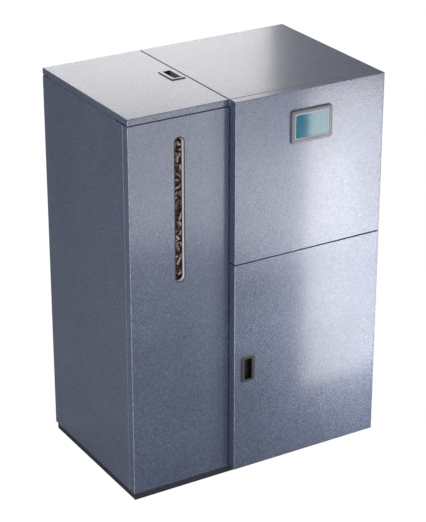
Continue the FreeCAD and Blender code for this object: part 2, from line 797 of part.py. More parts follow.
def flush_pull(x, y, z, turn):
    """A pull lying face up; its long side runs along y before it is turned to its place."""
    owner = body(x, y, z)
    owner.Placement = Placement(owner.Placement.Base, turn)
    half_wide = "pull_width / 2"
    half_long = "pull_length / 2"
    pad(owner, rectangle(sketch(owner, "XY_Plane"), (f"-{half_wide}", half_wide), (f"-{half_long}", half_long)),
        "pull_proud")
    soften(owner, lambda at, along: abs(along.z) > PARALLEL, "pull_corner")
    rim = worth("pull_proud")
    soften(owner, lambda at, along: at.z > rim - TOUCH, "pull_edge")
    cup = rectangle(sketch(owner, "XY_Plane"), (f"-{CUP_HALF_WIDE}", CUP_HALF_WIDE),
                    (f"-{CUP_HALF_LONG}", CUP_HALF_LONG))
    pad(owner, cup, "pull_depth + pull_wall", reverse=True)
    hollow = sketch(owner, "XY_Plane", "pull_proud")
    rectangle(hollow, ("-pull_open_width / 2", "pull_open_width / 2"),
              ("-pull_open_length / 2", "pull_open_length / 2"))
    pocket(owner, hollow, "pull_proud + pull_depth")
    return owner


LID_PULL_X = f"({LID_RIGHT} - lid_pull_inset)"
DOOR_PULL_X = f"({BOILER_LEFT} + door_pull_inset)"
DOOR_FRONT = "(-door_thickness)"

# Hopper lid with its liner
lid = tray("0", "0", COVER_FOOT, LID_RIGHT, "cabinet_depth", "cover_thickness")
node(cut(lid, box(
    (f"{LID_PULL_X} - {CUP_HALF_WIDE}", f"{LID_PULL_X} + {CUP_HALF_WIDE}"),
    (f"lid_pull_back - {CUP_HALF_LONG}", f"lid_pull_back + {CUP_HALF_LONG}"),
    ("cabinet_height - sheet", "cabinet_height"),
)), "hopper_lid")
LINER_LEFT = "(sheet + lid_leaf_sheet + free_gap)"
node(box((LINER_LEFT, f"{LID_RIGHT} - sheet"), ("sheet", REAR_FACE), (COVER_FOOT, f"{COVER_FOOT} + sheet")),
     "lid_liner")
node(flush_pull(LID_PULL_X, "lid_pull_back", "cabinet_height", Rotation()), "lid_pull")

# Lid hinge: a long leaf on the side panel, one on the lid, and the pin through their knuckles in turn
LID_HINGE_Y = "(front_return + side_seam + lid_hinge_inset)"
LID_HINGE_LENGTH = f"({REAR} - lid_hinge_inset - {LID_HINGE_Y})"
LID_KNUCKLE = f"({LID_HINGE_LENGTH} / {LID_KNUCKLES})"
LEAF_X = ("sheet", "sheet + lid_leaf_sheet")
LEAF_SLACK = "(sheet + free_gap)"


def lid_knuckles(steps, bore, root, tip):
    """Knuckles at some steps along the lid hinge, each joined to its leaf between two heights."""
    made = []
    for step in steps:
        start = f"({LID_HINGE_Y} + {LID_KNUCKLE} * {step} + free_gap / 2)"
        length = f"({LID_KNUCKLE} - free_gap)"
        barrel = fuse(
            rod("y", "sheet", ("sheet", start, LID_AXIS_Z), length),
            box(LEAF_X, (start, f"{start} + {length}"), (root, tip)),
        )
        made.append(cut(barrel, rod("y", bore, ("sheet", start, LID_AXIS_Z), length)))
    return made


HINGE_SPAN = (LID_HINGE_Y, f"{LID_HINGE_Y} + {LID_HINGE_LENGTH}")
FIXED_LEAF_TOP = f"({LID_AXIS_Z} - {LEAF_SLACK})"
LID_LEAF_FOOT = f"({LID_AXIS_Z} + {LEAF_SLACK})"
node(fuse(
    box(LEAF_X, HINGE_SPAN, (f"{RIM} + free_gap", FIXED_LEAF_TOP)),
    *lid_knuckles(range(0, LID_KNUCKLES, 2), "lid_pin_radius", FIXED_LEAF_TOP, LID_AXIS_Z),
), "lid_hinge_fixed_leaf")
node(fuse(
    box(LEAF_X, HINGE_SPAN, (LID_LEAF_FOOT, f"{LID_LEAF_FOOT} + lid_leaf_height")),
    *lid_knuckles(range(1, LID_KNUCKLES, 2), "lid_pin_radius + running_fit", LID_AXIS_Z, LID_LEAF_FOOT),
), "lid_hinge_leaf")
node(rod("y", "lid_pin_radius", ("sheet", LID_HINGE_Y, LID_AXIS_Z), LID_HINGE_LENGTH), "lid_hinge_pin")

# Upper door with the display
UPPER_FOOT = "(door_split + panel_gap / 2)"
LOWER_TOP = "(door_split - panel_gap / 2)"
DOOR_MIDDLE = f"({BOILER_LEFT} + {DOOR_WIDTH} / 2)"
SCREEN_MIDDLE = f"({BEZEL_MIDDLE} - screen_drop)"
SCREEN_X = (f"{DOOR_MIDDLE} - screen_width / 2", f"{DOOR_MIDDLE} + screen_width / 2")
SCREEN_Z = (f"{SCREEN_MIDDLE} - screen_height / 2", f"{SCREEN_MIDDLE} + screen_height / 2")
node(cut(
    door(UPPER_FOOT, "cabinet_height"),
    box(SCREEN_X, (DOOR_FRONT, f"{DOOR_FRONT} + sheet"), SCREEN_Z),
), "upper_door")
node(door_liner(UPPER_FOOT, "cabinet_height"), "upper_door_liner")


def rounded_slab(x, y, z, wide, high, depth, corner):
    """An upright slab with rounded corners, its back at a place and its face to the front."""
    owner = body(x, y, z)
    pad(owner, rectangle(sketch(owner, "XZ_Plane"), (f"-{wide} / 2", f"{wide} / 2"),
                         (f"-{high} / 2", f"{high} / 2")), depth)
    soften(owner, lambda at, along: abs(along.y) > PARALLEL, corner)
    return owner


bezel = rounded_slab(DOOR_MIDDLE, DOOR_FRONT, BEZEL_MIDDLE, "bezel_width", "bezel_height", "bezel_proud",
                     "bezel_corner")
bezel_face = -worth("bezel_proud")
soften(bezel, lambda at, along: at.y < bezel_face + TOUCH, "edge_radius")
node(cut(bezel, rounded_slab(
    DOOR_MIDDLE, DOOR_FRONT, SCREEN_MIDDLE, "screen_width", "screen_height", "bezel_proud", "screen_corner",
)), "display_bezel")
node(rounded_slab(
    DOOR_MIDDLE, DOOR_FRONT, SCREEN_MIDDLE, "screen_width", "screen_height", "(bezel_proud - screen_sunk)",
    "screen_corner",
), "display_screen")
node(box(
    (f"{SCREEN_X[0]} - housing_margin", f"{SCREEN_X[1]} + housing_margin"),
    (f"{DOOR_FRONT} + sheet", "-door_gap - liner_inset - sheet - free_gap"),
    (f"{SCREEN_Z[0]} - housing_margin", f"{SCREEN_Z[1]} + housing_margin"),
), "display_housing")

# Lower door with its pull
node(cut(
    door("plinth_height", LOWER_TOP),
    box((f"{DOOR_PULL_X} - {CUP_HALF_WIDE}", f"{DOOR_PULL_X} + {CUP_HALF_WIDE}"),
        (DOOR_FRONT, f"{DOOR_FRONT} + sheet"),
        (f"door_pull_middle - {CUP_HALF_LONG}", f"door_pull_middle + {CUP_HALF_LONG}")),
), "lower_door")
node(door_liner("plinth_height", LOWER_TOP), "lower_door_liner")
node(flush_pull(DOOR_PULL_X, DOOR_FRONT, "door_pull_middle", Rotation(Vector(1, 0, 0), 90)), "door_pull")

# Door hinges: two a door, the frame's knuckle below and the door's above
UPPER_HINGES = [f"({UPPER_FOOT} + hinge_inset)", "(cabinet_height - hinge_inset - hinge_length)"]
LOWER_HINGES = ["(plinth_height + hinge_inset)", f"({LOWER_TOP} - hinge_inset - hinge_length)"]
LEAF_SIDE = (WIDTH, f"{WIDTH} + hinge_sheet")
HALF_HINGE = "(hinge_length / 2 - free_gap / 2)"


def hinge_half(foot, leaf_y, bore):
    """One leaf of a door hinge with its knuckle."""
    return cut(
        fuse(
            box(LEAF_SIDE, leaf_y, (foot, f"{foot} + {HALF_HINGE}")),
            rod("z", "hinge_radius", (HINGE_X, HINGE_Y, foot), HALF_HINGE),
        ),
        rod("z", bore, (HINGE_X, HINGE_Y, foot), HALF_HINGE),
    )


FRAME_LEAF_Y = (HINGE_Y, f"{HINGE_Y} + hinge_leaf")
DOOR_LEAF_Y = (f"{HINGE_Y} - hinge_leaf", HINGE_Y)
DOOR_HALF_RISE = "hinge_length / 2 + free_gap / 2"
node(group([hinge_half(foot, FRAME_LEAF_Y, "hinge_pin_radius") for foot in LOWER_HINGES + UPPER_HINGES]),
     "frame_hinge_leaves")
for label, feet in (("upper_hinge_leaves", UPPER_HINGES), ("lower_hinge_leaves", LOWER_HINGES)):
    node(group([hinge_half(f"({foot} + {DOOR_HALF_RISE})", DOOR_LEAF_Y, "hinge_pin_radius + running_fit")
                for foot in feet]), label)

# Bulkhead behind the doors, with the control unit and the magnets that hold the doors
CONTROL_X = (f"({DOOR_MIDDLE} - control_width / 2)", f"({DOOR_MIDDLE} + control_width / 2)")
CONTROL_Z = (f"({VESSEL_TOP} - control_height)", VESSEL_TOP)
CONTROL_HOLE_X = (f"{CONTROL_X[0]} - free_gap", f"{CONTROL_X[1]} + free_gap")
CONTROL_HOLE_Z = (f"{CONTROL_Z[0]} - free_gap", f"{CONTROL_Z[1]} + free_gap")
node(cut(
    box((INNER_LEFT, INNER_RIGHT), ("0", "sheet"), UPRIGHT),
    box((f"{FIRE_DOOR_LEFT} - service_left", f"{FIRE_HINGE_X} + service_right"), ("0", "sheet"),
        ("plinth_height + service_foot", f"{FIRE_DOOR_TOP} + service_top")),
    box(CONTROL_HOLE_X, ("0", "sheet"), CONTROL_HOLE_Z),
), "inner_front_panel")
node(box(CONTROL_X, ("-control_proud", "vessel_front - control_clear"), CONTROL_Z), "control_unit")
MAGNET_X = (f"{INNER_LEFT} + magnet_inset", f"{INNER_LEFT} + magnet_inset + magnet_width")
MAGNET_Y = ("-door_gap - liner_inset + free_gap", "0")
node(group([
    box(MAGNET_X, MAGNET_Y, (f"{middle} - magnet_length / 2", f"{middle} + magnet_length / 2"))
    for middle in ("door_pull_middle", f"({UPPER_FOOT} + cabinet_height) / 2")
]), "door_magnets")

# Auger: tube, screw and gearmotor
TUBE_END = f"({BURNER_X} - burner_half + tube_entry)"
AUGER_AT = (MIDDLE_Y, "auger_height")
FLANGE_START = f"({TUBE_START} - auger_flange)"
node(cut(
    fuse(
        rod("x", "tube_radius", (TUBE_START, *AUGER_AT), f"{TUBE_END} - {TUBE_START}"),
        rod("x", "auger_flange_radius", (FLANGE_START, *AUGER_AT), "auger_flange"),
    ),
    rod("x", "tube_radius - tube_wall", (TUBE_START, *AUGER_AT), f"{TUBE_END} - {TUBE_START}"),
    rod("x", "auger_shaft_radius + running_fit", (FLANGE_START, *AUGER_AT), "auger_flange"),
    box(("outlet_left - bin_sheet", BIN_RIGHT), (f"{MIDDLE_Y} - tube_radius", f"{MIDDLE_Y} + tube_radius"),
        (OUTLET_Z, f"{OUTLET_Z} + tube_radius")),
), "auger_tube")
GEARBOX_START = f"({FLANGE_START} - gearbox_length)"
HALF_BOX = "gearbox_side / 2"
node(cut(
    fuse(
        box((GEARBOX_START, FLANGE_START), (f"{MIDDLE_Y} - {HALF_BOX}", f"{MIDDLE_Y} + {HALF_BOX}"),
            (f"auger_height - {HALF_BOX}", f"auger_height + {HALF_BOX}")),
        rod("x", "motor_radius", (f"{GEARBOX_START} - motor_length", *AUGER_AT), "motor_length"),
    ),
    rod("x", "auger_shaft_radius + running_fit", (GEARBOX_START, *AUGER_AT), "gearbox_length"),
), "auger_gearmotor")


def auger_screw():
    """A shaft with one helical flight, swept at its real pitch and then laid along x."""
    start = worth(f"{TUBE_START} + flight_pitch / 4")
    turns_end = worth(f"{TUBE_END} - flight_pitch / 4")
    shaft_start = worth(f"{GEARBOX_START} + free_gap")
    shaft_end = worth(f"{TUBE_END} - tube_wall")
    inner = worth("auger_shaft_radius - flight_thickness / 2")
    outer = worth(FLIGHT_RADIUS)
    half = worth("flight_thickness / 2")
    path = Part.Wire(Part.makeLongHelix(worth("flight_pitch"), turns_end - start, outer).Edges)
    corners = [Vector(inner, 0, -half), Vector(outer, 0, -half), Vector(outer, 0, half), Vector(inner, 0, half)]
    sweep = Part.BRepOffsetAPI.MakePipeShell(path)
    sweep.setFrenetMode(True)
    sweep.add(Part.makePolygon(corners + corners[:1]))
    sweep.build()
    sweep.makeSolid()
    flight = sweep.shape()
    flight.translate(Vector(0, 0, start - shaft_start))
    shaft = Part.makeCylinder(worth("auger_shaft_radius"), shaft_end - shaft_start)
    made = doc.addObject("Part::Feature", "auger")
    made.Shape = shaft.fuse(flight)
    made.Placement = Placement(Vector(), TURN_TO_X)
    place(made, f"{GEARBOX_START} + free_gap", *AUGER_AT)
    return made


node(auger_screw(), "auger_screw")

# Boiler vessel: shell, firebox, smoke tubes, front plate, feet and hinge lugs welded into one
FIRE_X = (FIRE_LEFT, FIRE_RIGHT)
FIRE_Y = (FIRE_FRONT, FIRE_REAR)
FIRE_Z = (FIRE_FLOOR, "firebox_top")
TUBE_CENTRES = [(f"({BOILER_MIDDLE} + smoke_tube_pitch * {column})", f"({TUBE_Y} + smoke_tube_pitch * {line})")
                for line in TUBE_ROWS for column in TUBE_COLUMNS]
TUBE_RUN = f"({VESSEL_TOP} - firebox_top)"
TUBE_BORE = "(smoke_tube_radius - smoke_tube_wall)"
REAR_WALL = f"({VESSEL_REAR} - vessel_wall)"
SLEEVE_X = (VESSEL_LEFT, *AUGER_AT)
water = cut(
    box((f"{VESSEL_LEFT} + vessel_wall", f"{VESSEL_RIGHT} - vessel_wall"), (FIRE_FRONT, REAR_WALL),
        (f"{VESSEL_FOOT} + vessel_wall", f"{VESSEL_TOP} - vessel_wall")),
    box((f"{FIRE_LEFT} - fire_wall", f"{FIRE_RIGHT} + fire_wall"), (FIRE_FRONT, f"{FIRE_REAR} + fire_wall"),
        (VESSEL_FOOT, "firebox_top + fire_wall")),
    *[rod("z", "smoke_tube_radius", (x, y, "firebox_top"), TUBE_RUN) for x, y in TUBE_CENTRES],
    rod("x", "tube_radius + free_gap + vessel_wall", SLEEVE_X, "jacket"),
    rod("y", "air_pipe_radius + free_gap + vessel_wall", (BURNER_X, FIRE_REAR, AIR_Z), "rear_jacket"),
)
FIRE_KNUCKLES = [f"({FIRE_DOOR_FOOT} + fire_hinge_inset)",
                 f"({FIRE_DOOR_TOP} - fire_hinge_inset - 2 * fire_knuckle)"]
FIRE_AXIS = (FIRE_HINGE_X, FIRE_HINGE_Y)


def fire_lug(foot):
    """A lug that stands out from the vessel's front and holds the fire door's pin."""
    top = f"{foot} + fire_knuckle - free_gap"
    return cut(
        fuse(
            box((f"{FIRE_HINGE_X} - fire_hinge_radius", f"{FIRE_HINGE_X} + fire_hinge_radius"),
                (FIRE_HINGE_Y, "vessel_front"), (foot, top)),
            rod("z", "fire_hinge_radius", (*FIRE_AXIS, foot), "fire_knuckle - free_gap"),
        ),
        rod("z", "fire_pin_radius", (*FIRE_AXIS, foot), "fire_knuckle"),
    )


RAIL_ROWS = (
    ("vessel_front + rail_inset", "vessel_front + rail_inset + rail_width"),
    (f"{VESSEL_REAR} - rail_inset - rail_width", f"{VESSEL_REAR} - rail_inset"),
)
shell = cut(
    box((VESSEL_LEFT, VESSEL_RIGHT), ("vessel_front", VESSEL_REAR), (VESSEL_FOOT, VESSEL_TOP)),
    water,
    box(FIRE_X, FIRE_Y, FIRE_Z),
    box(FIRE_OPENING_X, ("vessel_front", FIRE_FRONT), (FIRE_OPENING_FOOT, "fire_opening_top")),
    box((f"{BOILER_MIDDLE} - {ASH_HALF}", f"{BOILER_MIDDLE} + {ASH_HALF}"), ("vessel_front", FIRE_FRONT),
        (FIRE_FLOOR, ASH_OPENING_TOP)),
    *[rod("z", TUBE_BORE, (x, y, "firebox_top"), TUBE_RUN) for x, y in TUBE_CENTRES],
    rod("x", "tube_radius + free_gap", SLEEVE_X, "jacket"),
    rod("y", "air_pipe_radius + free_gap", (BURNER_X, FIRE_REAR, AIR_Z), "rear_jacket"),
    rod("y", "pipe_bore", (PIPE_X, REAR_WALL, FLOW_Z), "vessel_wall"),
    rod("y", "pipe_bore", (PIPE_X, REAR_WALL, "return_height"), "vessel_wall"),
)
node(fuse(
    shell,
    *[box((VESSEL_LEFT, VESSEL_RIGHT), y, ("plinth_height", VESSEL_FOOT)) for y in RAIL_ROWS],
    *[fire_lug(foot) for foot in FIRE_KNUCKLES],
), "boiler_vessel")
LAGGING_Y = ("vessel_front", VESSEL_REAR)
LAGGING_ABOVE_TUBE = ("auger_height + tube_radius + insulation_clear", VESSEL_TOP)
LAGGING_ABOVE_AIR = (f"{AIR_Z} + air_pipe_radius + insulation_clear", VESSEL_TOP)
node(group([
    box((f"{VESSEL_LEFT} - insulation", f"{VESSEL_LEFT} - free_gap"), LAGGING_Y, LAGGING_ABOVE_TUBE),
    box((f"{VESSEL_RIGHT} + free_gap", f"{VESSEL_RIGHT} + insulation"), LAGGING_Y, (VESSEL_FOOT, VESSEL_TOP)),
    box((f"{PIPE_X} + pipe_radius + insulation_clear", VESSEL_RIGHT),
        (f"{VESSEL_REAR} + free_gap", f"{VESSEL_REAR} + insulation"), LAGGING_ABOVE_AIR),
]), "insulation_slabs")

# Burner pot, its air duct and the igniter
POT_X = (f"({BURNER_X} - burner_half)", f"({BURNER_X} + burner_half)")
POT_Y = (f"({MIDDLE_Y} - burner_half)", f"({MIDDLE_Y} + burner_half)")
POT_TOP = f"({BURNER_FOOT} + burner_height)"
HOLE_Z = f"({BURNER_FOOT} + burner_hole_rise)"
node(cut(
    box(POT_X, POT_Y, (BURNER_FOOT, POT_TOP)),
    box((f"{POT_X[0]} + burner_wall", f"{POT_X[1]} - burner_wall"),
        (f"{POT_Y[0]} + burner_wall", f"{POT_Y[1]} - burner_wall"), (f"{BURNER_FOOT} + burner_wall", POT_TOP)),
    rod("z", "igniter_radius + free_gap", (BURNER_X, MIDDLE_Y, BURNER_FOOT), "burner_wall"),
    rod("x", "tube_radius + free_gap", (POT_X[0], *AUGER_AT), "tube_entry + free_gap"),
    *[rod("y", "burner_hole_radius", (f"{BURNER_X} + burner_hole_pitch * {step}", POT_Y[0], HOLE_Z),
          "2 * burner_half") for step in BURNER_HOLE_STEPS],
    *[rod("x", "burner_hole_radius", (BURNER_X, f"{MIDDLE_Y} + burner_hole_pitch * {step}", HOLE_Z),
          "burner_half") for step in BURNER_HOLE_STEPS],
), "burner_pot")
DUCT_HALF = "(burner_half + duct_margin)"
DUCT_X = (f"{BURNER_X} - {DUCT_HALF}", f"{BURNER_X} + {DUCT_HALF}")
DUCT_Y = (f"{MIDDLE_Y} - {DUCT_HALF}", FIRE_REAR)
DUCT_INSIDE = [
    (f"{DUCT_X[0]} + duct_sheet", f"{DUCT_X[1]} - duct_sheet"),
    (f"{DUCT_Y[0]} + duct_sheet", f"{DUCT_Y[1]} - duct_sheet"),
    (f"{DUCT_FOOT} + duct_sheet", f"{BURNER_FOOT} - duct_sheet"),
]
PIPE_INNER = f"({REAR} + flue_step - {FIRE_REAR})"
AIR_AT = (BURNER_X, FIRE_REAR, AIR_Z)
AIR_OUT = (BURNER_X, f"{REAR} + flue_step", AIR_Z)
node(cut(
    fuse(
        box(DUCT_X, DUCT_Y, (DUCT_FOOT, BURNER_FOOT)),
        rod("y", "air_pipe_radius - flue_step", AIR_AT, PIPE_INNER),
        rod("y", "air_pipe_radius", AIR_OUT, "air_pipe_reach - flue_step"),
    ),
    box(*DUCT_INSIDE),
    rod("y", "air_pipe_radius - flue_step - duct_sheet", (BURNER_X, f"{FIRE_REAR} - duct_sheet", AIR_Z),
        f"{PIPE_INNER} + duct_sheet + air_pipe_reach"),
    rod("z", "igniter_radius + free_gap", (BURNER_X, MIDDLE_Y, f"{BURNER_FOOT} - duct_sheet"), "duct_sheet"),
), "burner_air_duct")
node(rod("z", "igniter_radius", (BURNER_X, MIDDLE_Y, f"{DUCT_FOOT} + duct_sheet"), "igniter_length"), "igniter")

# Fire door with its board, rope and pins
FIRE_DOOR_X = (FIRE_DOOR_LEFT, FIRE_DOOR_RIGHT)
FIRE_DOOR_Y = (FIRE_DOOR_FRONT, FIRE_DOOR_BACK)


def fire_knuckle(foot):
    """A knuckle of the fire door above one of the vessel's lugs."""
    reach = (foot, f"{foot} + fire_knuckle")
    return fuse(
        box((FIRE_DOOR_RIGHT, FIRE_HINGE_X), (FIRE_DOOR_FRONT, f"{FIRE_DOOR_FRONT} + 2 * fire_hinge_radius"),
            reach),
        rod("z", "fire_hinge_radius", (*FIRE_AXIS, foot), "fire_knuckle"),
    )


DOOR_KNUCKLES = [f"({foot} + fire_knuckle)" for foot in FIRE_KNUCKLES]
FIRE_MIDDLE = f"({FIRE_DOOR_FOOT} + {FIRE_DOOR_TOP}) / 2"
GRIP_X = (f"{FIRE_DOOR_X[0]} + grip_width", f"{FIRE_DOOR_X[0]} + 2 * grip_width")
GRIP_Z = (f"{FIRE_MIDDLE} - grip_length / 2", f"{FIRE_MIDDLE} + grip_length / 2")
node(cut(
    fuse(
        box(FIRE_DOOR_X, FIRE_DOOR_Y, (FIRE_DOOR_FOOT, FIRE_DOOR_TOP)),
        *[fire_knuckle(foot) for foot in DOOR_KNUCKLES],
        box(GRIP_X, (f"{FIRE_DOOR_FRONT} - grip_reach", FIRE_DOOR_FRONT), GRIP_Z),
    ),
    *[rod("z", "fire_pin_radius + running_fit", (*FIRE_AXIS, foot), "fire_knuckle") for foot in DOOR_KNUCKLES],
), "fire_door")
node(box(
    (f"{FIRE_OPENING_X[0]} + board_margin", f"{FIRE_OPENING_X[1]} - board_margin"),
    (FIRE_DOOR_BACK, f"{FIRE_DOOR_BACK} + board_thickness"),
    (f"{FIRE_OPENING_FOOT} + board_margin", "fire_opening_top - board_margin"),
), "fire_door_board")
ROPE_Y = (ROPE_FRONT, "vessel_front")
ROPE_GAP = "(free_gap + rope_width)"
node(cut(
    box((f"{FIRE_OPENING_X[0]} - {ROPE_GAP}", f"{FIRE_OPENING_X[1]} + {ROPE_GAP}"), ROPE_Y,
        (f"{FIRE_OPENING_FOOT} - {ROPE_GAP}", f"fire_opening_top + {ROPE_GAP}")),
    box((f"{FIRE_OPENING_X[0]} - free_gap", f"{FIRE_OPENING_X[1]} + free_gap"), ROPE_Y,
        (f"{FIRE_OPENING_FOOT} - free_gap", "fire_opening_top + free_gap")),
), "fire_door_rope")
DOOR_HINGES = LOWER_HINGES + UPPER_HINGES
node(group(
    [rod("z", "hinge_pin_radius", (HINGE_X, HINGE_Y, foot), "hinge_length") for foot in DOOR_HINGES]
    + [rod("z", "fire_pin_radius", (*FIRE_AXIS, foot), "2 * fire_knuckle") for foot in FIRE_KNUCKLES]
), "hinge_pins")

# Ash pan, which slides on the firebox floor
ASH_FOOT = f"({FIRE_FLOOR} + free_gap)"
ASH_TRAY_X = (f"({BOILER_MIDDLE} - {ASH_HALF} + ash_pan_wall)",
              f"({BOILER_MIDDLE} + {ASH_HALF} - ash_pan_wall)")
ASH_BACK = "(vessel_front - free_gap)"
ASH_FACE = f"({ASH_BACK} - ash_front)"
ASH_REAR = f"({FIRE_REAR} - ash_rear_clear)"
ASH_FRONT_X = (f"{BOILER_MIDDLE} - {ASH_HALF} - ash_lap", f"{BOILER_MIDDLE} + {ASH_HALF} + ash_lap")
HANDLE_X = (f"{BOILER_MIDDLE} - ash_handle / 2", f"{BOILER_MIDDLE} + ash_handle / 2")
HANDLE_Z = (f"{ASH_TOP} - ash_handle_drop", f"{ASH_TOP} - ash_handle_drop + ash_handle_height")
node(cut(
    fuse(
        box(ASH_TRAY_X, (ASH_BACK, ASH_REAR), (ASH_FOOT, ASH_TOP)),
        box(ASH_FRONT_X, (ASH_FACE, ASH_BACK), (ASH_FOOT, f"{ASH_OPENING_TOP} + ash_lap")),
        box(HANDLE_X, (f"{ASH_FACE} - ash_handle_reach", ASH_FACE), HANDLE_Z),
    ),
    box((f"{ASH_TRAY_X[0]} + ash_pan_wall", f"{ASH_TRAY_X[1]} - ash_pan_wall"),
        (f"{ASH_BACK} + ash_pan_wall", f"{ASH_REAR} - ash_pan_wall"),
        (f"{ASH_FOOT} + ash_pan_wall", ASH_TOP)),
), "ash_pan")

# Smoke tubes' cleaning rack with its strips, and the actuator that lifts it
RACK_HALF = f"(smoke_tube_pitch * {TUBE_COLUMNS[-1]} + rack_margin)"
RACK_DEEP = "(smoke_tube_pitch / 2 + rack_margin)"
ROD_AT = (BOILER_MIDDLE, RACK_Y)
node(fuse(
    box((f"{BOILER_MIDDLE} - {RACK_HALF}", f"{BOILER_MIDDLE} + {RACK_HALF}"),
        (f"{RACK_Y} - {RACK_DEEP}", f"{RACK_Y} + {RACK_DEEP}"), (RACK_FOOT, f"{RACK_FOOT} + rack_sheet")),
    rod("z", "rod_radius", (*ROD_AT, f"{RACK_FOOT} + rack_sheet"), "rod_length"),
    *[box((f"{x} - strip_width / 2", f"{x} + strip_width / 2"), (f"{y} - strip_thickness / 2",
          f"{y} + strip_thickness / 2"), ("firebox_top + strip_clear", RACK_FOOT)) for x, y in TUBE_CENTRES],
), "cleaning_rack")
HALF_ACTUATOR = "actuator_side / 2"
ROD_ROOM = f"({RACK_FOOT} + rack_sheet + rod_length + rack_travel + free_gap - {SMOKE_TOP})"
node(cut(
    box((f"{BOILER_MIDDLE} - {HALF_ACTUATOR}", f"{BOILER_MIDDLE} + {HALF_ACTUATOR}"),
        (f"{RACK_Y} - {HALF_ACTUATOR}", f"{RACK_Y} + {HALF_ACTUATOR}"),
        (SMOKE_TOP, f"{SMOKE_TOP} + {ROD_ROOM} + actuator_roof")),
    rod("z", "rod_radius + running_fit", (*ROD_AT, SMOKE_TOP), ROD_ROOM),
), "cleaning_actuator")

# Smoke box, draught fan and flue collar
SMOKE_X = (f"({VESSEL_LEFT} + smoke_box_inset)", f"({VESSEL_RIGHT} - smoke_box_inset)")
FLUE_BORE = "(flue_radius - flue_step - flue_wall)"
FAN_AT = (BOILER_MIDDLE, FAN_Y)
BOX_CEILING = f"({SMOKE_TOP} - smoke_box_sheet)"
node(cut(
    box(SMOKE_X, (SMOKE_FRONT, SMOKE_REAR), (VESSEL_TOP, SMOKE_TOP)),
    box((f"{SMOKE_X[0]} + smoke_box_sheet", f"{SMOKE_X[1]} - smoke_box_sheet"),
        (f"{SMOKE_FRONT} + smoke_box_sheet", f"{SMOKE_REAR} - smoke_box_sheet"), (VESSEL_TOP, BOX_CEILING)),
    rod("z", "rod_radius + free_gap", (*ROD_AT, BOX_CEILING), "smoke_box_sheet"),
    rod("z", "fan_shaft_radius + free_gap", (*FAN_AT, BOX_CEILING), "smoke_box_sheet"),
    rod("y", "flue_radius - flue_step", (BOILER_MIDDLE, f"{SMOKE_REAR} - smoke_box_sheet", FLUE_Z),
        "smoke_box_sheet"),
), "smoke_box")
node(cut(
    fuse(
        rod("z", "fan_motor_radius", (*FAN_AT, SMOKE_TOP), "fan_motor_height"),
        rod("z", "fan_motor_radius + fan_motor_lip", (*FAN_AT, SMOKE_TOP), "fan_motor_flange"),
    ),
    rod("z", "fan_shaft_radius + running_fit", (*FAN_AT, SMOKE_TOP),
        "fan_shaft_length - fan_below_box_top - smoke_box_sheet + free_gap"),
), "draft_fan_motor")
FAN_FOOT = f"({BOX_CEILING} - fan_below_box_top - fan_height)"
wheel = lathe(*FAN_AT, FAN_FOOT, "z", [
    ("0", "0"),
    ("fan_hub_radius", "0"),
    ("fan_hub_radius", "fan_height - fan_plate"),
    ("fan_radius", "fan_height - fan_plate"),
    ("fan_radius", "fan_height"),
    ("fan_shaft_radius", "fan_height"),
    ("fan_shaft_radius", "fan_height + fan_shaft_length"),
    ("0", "fan_height + fan_shaft_length"),
])
blade = rectangle(sketch(wheel, "XY_Plane"), ("fan_hub_radius - fan_blade", "fan_radius"), ("0", "fan_blade"))
around(wheel, pad(wheel, blade, "fan_height"), FAN_BLADES)
node(wheel, "draft_fan_wheel")
COLLAR_RUN = f"({REAR} + flue_step - {SMOKE_REAR})"
COLLAR_END = f"({REAR} + flue_reach - {SMOKE_REAR})"
node(lathe(BOILER_MIDDLE, SMOKE_REAR, FLUE_Z, "y", [
    (FLUE_BORE, "0"),
    ("flue_radius + flue_lip", "0"),
    ("flue_radius + flue_lip", "flue_flange"),
    ("flue_radius - flue_step", "flue_flange"),
    ("flue_radius - flue_step", COLLAR_RUN),
    ("flue_radius", COLLAR_RUN),
    ("flue_radius", COLLAR_END),
    (FLUE_BORE, COLLAR_END),
]), "flue_collar")

# Water pipes, cable glands and mains switch on the rear
PIPE_RUN = f"({REAR} + pipe_step - {VESSEL_REAR})"
PIPE_END = f"({REAR} + pipe_reach - {VESSEL_REAR})"
PIPE_PROFILE = [
    ("pipe_bore", "0"),
    ("pipe_radius - pipe_step", "0"),
    ("pipe_radius - pipe_step", PIPE_RUN),
    ("pipe_radius", PIPE_RUN),
    ("pipe_radius", PIPE_END),
    ("pipe_bore", PIPE_END),
]
node(group([lathe(PIPE_X, VESSEL_REAR, z, "y", PIPE_PROFILE) for z in (FLOW_Z, "return_height")]),
     "water_pipes")
GLAND_IN = "(gland_nut / 2)"
GLAND_OUT = f"({GLAND_IN} + sheet)"
GLAND_PROFILE = [
    ("gland_bore", "0"),
    ("gland_nut_radius", "0"),
    ("gland_nut_radius", GLAND_IN),
    ("gland_thread_radius", GLAND_IN),
    ("gland_thread_radius", GLAND_OUT),
    ("gland_nut_radius", GLAND_OUT),
    ("gland_nut_radius", f"{GLAND_OUT} + gland_nut"),
    ("gland_dome_radius", f"{GLAND_OUT} + gland_nut"),
    ("gland_dome_radius", f"{GLAND_OUT} + gland_nut + gland_dome"),
    ("gland_bore", f"{GLAND_OUT} + gland_nut + gland_dome"),
]
node(group([lathe(GLAND_X, f"{REAR_FACE} - {GLAND_IN}", z, "y", GLAND_PROFILE) for z in GLAND_HEIGHTS]),
     "cable_glands")

